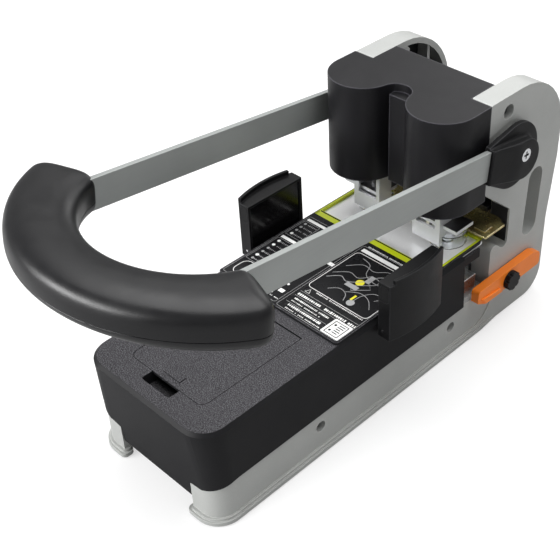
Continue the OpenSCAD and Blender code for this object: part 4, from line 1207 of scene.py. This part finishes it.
# Lock lever's thumb pad

lockPad = {
    "x": (75.6, 77.6),
    "soft": 0.5,
    "outline": [(283.6, 45.2), (308.5, 43.0), (312.0, 37.8), (289.5, 38.2)],
}


# A point of an outline that is drawn on the machine's side
def onSide(y, z, x):
    return at(x, y, z)


def makeLockPad():
    p = lockPad
    bm = bmesh.new()
    prism(bm, p["outline"], *p["x"], onSide)
    obj = pieceFrom(bm, "lockPad")
    soften(obj, p["soft"])
    settle(obj, "orange", bodyOf["lock_lever"])


makeLockPad()


# Guides: a glossy inner panel, and on the front end a raised frame and a bright pin

guideTrim = {
    "panelX": (70.66, 70.84),
    "panel": (166.4, 220.6, 84.4, 128.1),
    "panelRound": 1.5,
    "frame": (71.0, 79.0, 114.6, 128.4),
    "frameRound": 2.0,
    "frameHalf": 0.3,
    "frameSunk": 0.2,
    "front": 163.5,
    "proud": 0.1,
    # centre and radius
    "pin": (73.8, 86.6, 1.0),
    "pinSunk": 0.3,
}


def makeGuideTrim(side):
    t = guideTrim
    node = "left_guide" if side < 0 else "right_guide"

    def onFront(a, b, level):
        return at(side * a, level, b)

    near, far = (side * x for x in t["panelX"])
    front, top = t["front"], t["front"] + t["proud"]
    panel = bmesh.new()
    prism(panel, roundedBox(*t["panel"], t["panelRound"]), near, far, onSide)
    endFrame = bmesh.new()
    ribbon(endFrame, roundedBox(*t["frame"], t["frameRound"]), t["frameHalf"], front - t["frameSunk"], top,
           onFront, True)
    pin = bmesh.new()
    prism(pin, circle(*t["pin"], 20), front - t["pinSunk"], top, onFront)
    for name, bm, mat in (("Panel", panel, "gloss"), ("EndFrame", endFrame, "guide"),
                          ("Pin", pin, "bright")):
        settle(pieceFrom(bm, camel(node) + name), mat, bodyOf[node])


makeGuideTrim(-1)
makeGuideTrim(1)


# Rear stop: each clip has a plated foot and a black head near the rear edge

stopClip = {
    "foot": (53.0, 64.0, 298.0, 309.0),
    "footZ": (99.4, 100.4),
    "footSoft": 0.3,
    "head": (34.0, 47.3, 323.0, 333.8),
    "headZ": (99.4, 104.0),
    "headSoft": 0.5,
    "round": 1.0,
}


def makeClips():
    c = stopClip
    for part, mat, nodes in (("foot", "zinc", ("stop_clips",)), ("head", "guide", ())):
        bm = bmesh.new()
        x0, x1, y0, y1 = c[part]
        for low, high in ((x0, x1), (-x1, -x0)):
            prism(bm, roundedBox(low, high, y0, y1, c["round"], 3), *c[part + "Z"], at)
        obj = pieceFrom(bm, "clip" + part.capitalize())
        soften(obj, c[part + "Soft"])
        settle(obj, mat, bodyOf["stop_clips"], nodes)


makeClips()


# Inner sides of the castings: the crown's solid front, and dark sheets of painted shade in the pocket behind
# it and on the jaw's face

crown = {
    "plateX": (49.76, 52.5),
    "plate": [(317.4, 186.0), (334.0, 186.0), (334.0, 212.5), (330.0, 216.5), (317.4, 217.5)],
    # a dark sheet that paints the shade on the jaw's face
    "jawX": (50.2, 66.0),
    "jaw": [(324.9, 70.0), (325.6, 70.0), (325.6, 110.6), (324.9, 110.6)],
    # a dark sheet that paints the pocket's shade
    "linerX": (63.4, 64.2),
    "liner": [(334.0, 150.0), (384.0, 150.0), (383.0, 168.0), (380.5, 180.0), (376.0, 190.0), (369.0, 200.0),
              (360.0, 208.5), (348.0, 214.5), (334.0, 216.0)],
}


def makeCrown(side):
    c = crown
    node = "left_frame" if side < 0 else "right_frame"
    for part, mat in (("plate", "casting"), ("liner", "pocket"), ("jaw", "pocket")):
        bm = bmesh.new()
        near, far = (side * x for x in c[part + "X"])
        prism(bm, c[part], near, far, onSide)
        settle(pieceFrom(bm, camel(node) + part.capitalize()), mat, bodyOf[node])


makeCrown(-1)
makeCrown(1)
print("stage: small pieces made")


# Floor and light

# The floor glows for the camera, less so near the machine, where shadows show
studio = {
    "floorSize": 24.0,
    "floorTone": (0.4, 0.4, 0.4, 1),
    "floorRough": 0.9,
    "floorDrop": 0.0002,
    "glowNear": 0.6,
    "glowSpan": (0.6, 2.2),  # metres from the middle
    "white": (1, 1, 1, 1),
    "world": 0.1,
    # what each kind of ray sees more of the world than that
    "worldGains": {"Is Camera Ray": 1.0, "Is Transmission Ray": 0.9, "Is Glossy Ray": 0.28},
    "aim": (0, 0, 0.08),
    "lights": [
        # name, place, size in metres, watts, seen in reflections
        ("topBox", (-0.1, 0.45, 1.8), (2.4, 1.9), 52, True),
        ("leftKey", (-0.85, -2.2, 1.05), (2.2, 0.7), 95, True),
        ("rightFill", (2.1, -0.4, 0.7), (1.6, 1.0), 11, False),
        ("rearFill", (-0.6, 2.2, 0.9), (1.6, 1.0), 8, True),
    ],
}


def makeFloor():
    bm = bmesh.new()
    bmesh.ops.create_grid(bm, x_segments=2, y_segments=2, size=studio["floorSize"] / 2)
    obj = pieceFrom(bm, "floor")
    g = Graph("floorWhite")
    g.fix("Base Color", studio["floorTone"])
    g.fix("Roughness", studio["floorRough"])
    g.fix("Emission Color", studio["white"])
    rays = g.node("LightPath")
    either = g.node("Math", operation="MAXIMUM")
    g.link(rays.outputs["Is Camera Ray"], either.inputs[0])
    g.link(rays.outputs["Is Transmission Ray"], either.inputs[1])
    away = g.node("VectorMath", operation="LENGTH")
    g.link(g.coords, away.inputs[0])
    glow = g.spread(away.outputs["Value"], studio["glowNear"], 1.0, *studio["glowSpan"])
    g.feed("Emission Strength", g.product(either.outputs[0], glow))
    obj.data.materials.append(g.mat)
    obj.location.z = -studio["floorDrop"]


def makeLights():
    world = bpy.data.worlds.new("studioWorld")
    bpy.context.scene.world = world
    world.use_nodes = True
    tree = world.node_tree
    back = tree.nodes["Background"]
    back.inputs["Color"].default_value = studio["white"]
    rays = tree.nodes.new("ShaderNodeLightPath")
    total = tree.nodes.new("ShaderNodeValue").outputs[0]
    total.default_value = studio["world"]
    for key, gain in studio["worldGains"].items():
        step = tree.nodes.new("ShaderNodeMath")
        step.operation = "MULTIPLY_ADD"
        step.inputs[1].default_value = gain
        tree.links.new(rays.outputs[key], step.inputs[0])
        tree.links.new(total, step.inputs[2])
        total = step.outputs[0]
    tree.links.new(total, back.inputs["Strength"])
    for name, where, size, power, seen in studio["lights"]:
        data = bpy.data.lights.new(name, "AREA")
        data.shape = "RECTANGLE"
        data.size, data.size_y = size
        data.energy = power
        obj = bpy.data.objects.new(name, data)
        bpy.context.scene.collection.objects.link(obj)
        obj.visible_glossy = seen
        obj.location = where
        obj.rotation_mode = "QUATERNION"
        obj.rotation_quaternion = (Vector(studio["aim"]) - obj.location).to_track_quat("-Z", "Y")


makeFloor()
makeLights()
bpy.context.scene.view_settings.view_transform = "Standard"
print("stage: floor and light made")
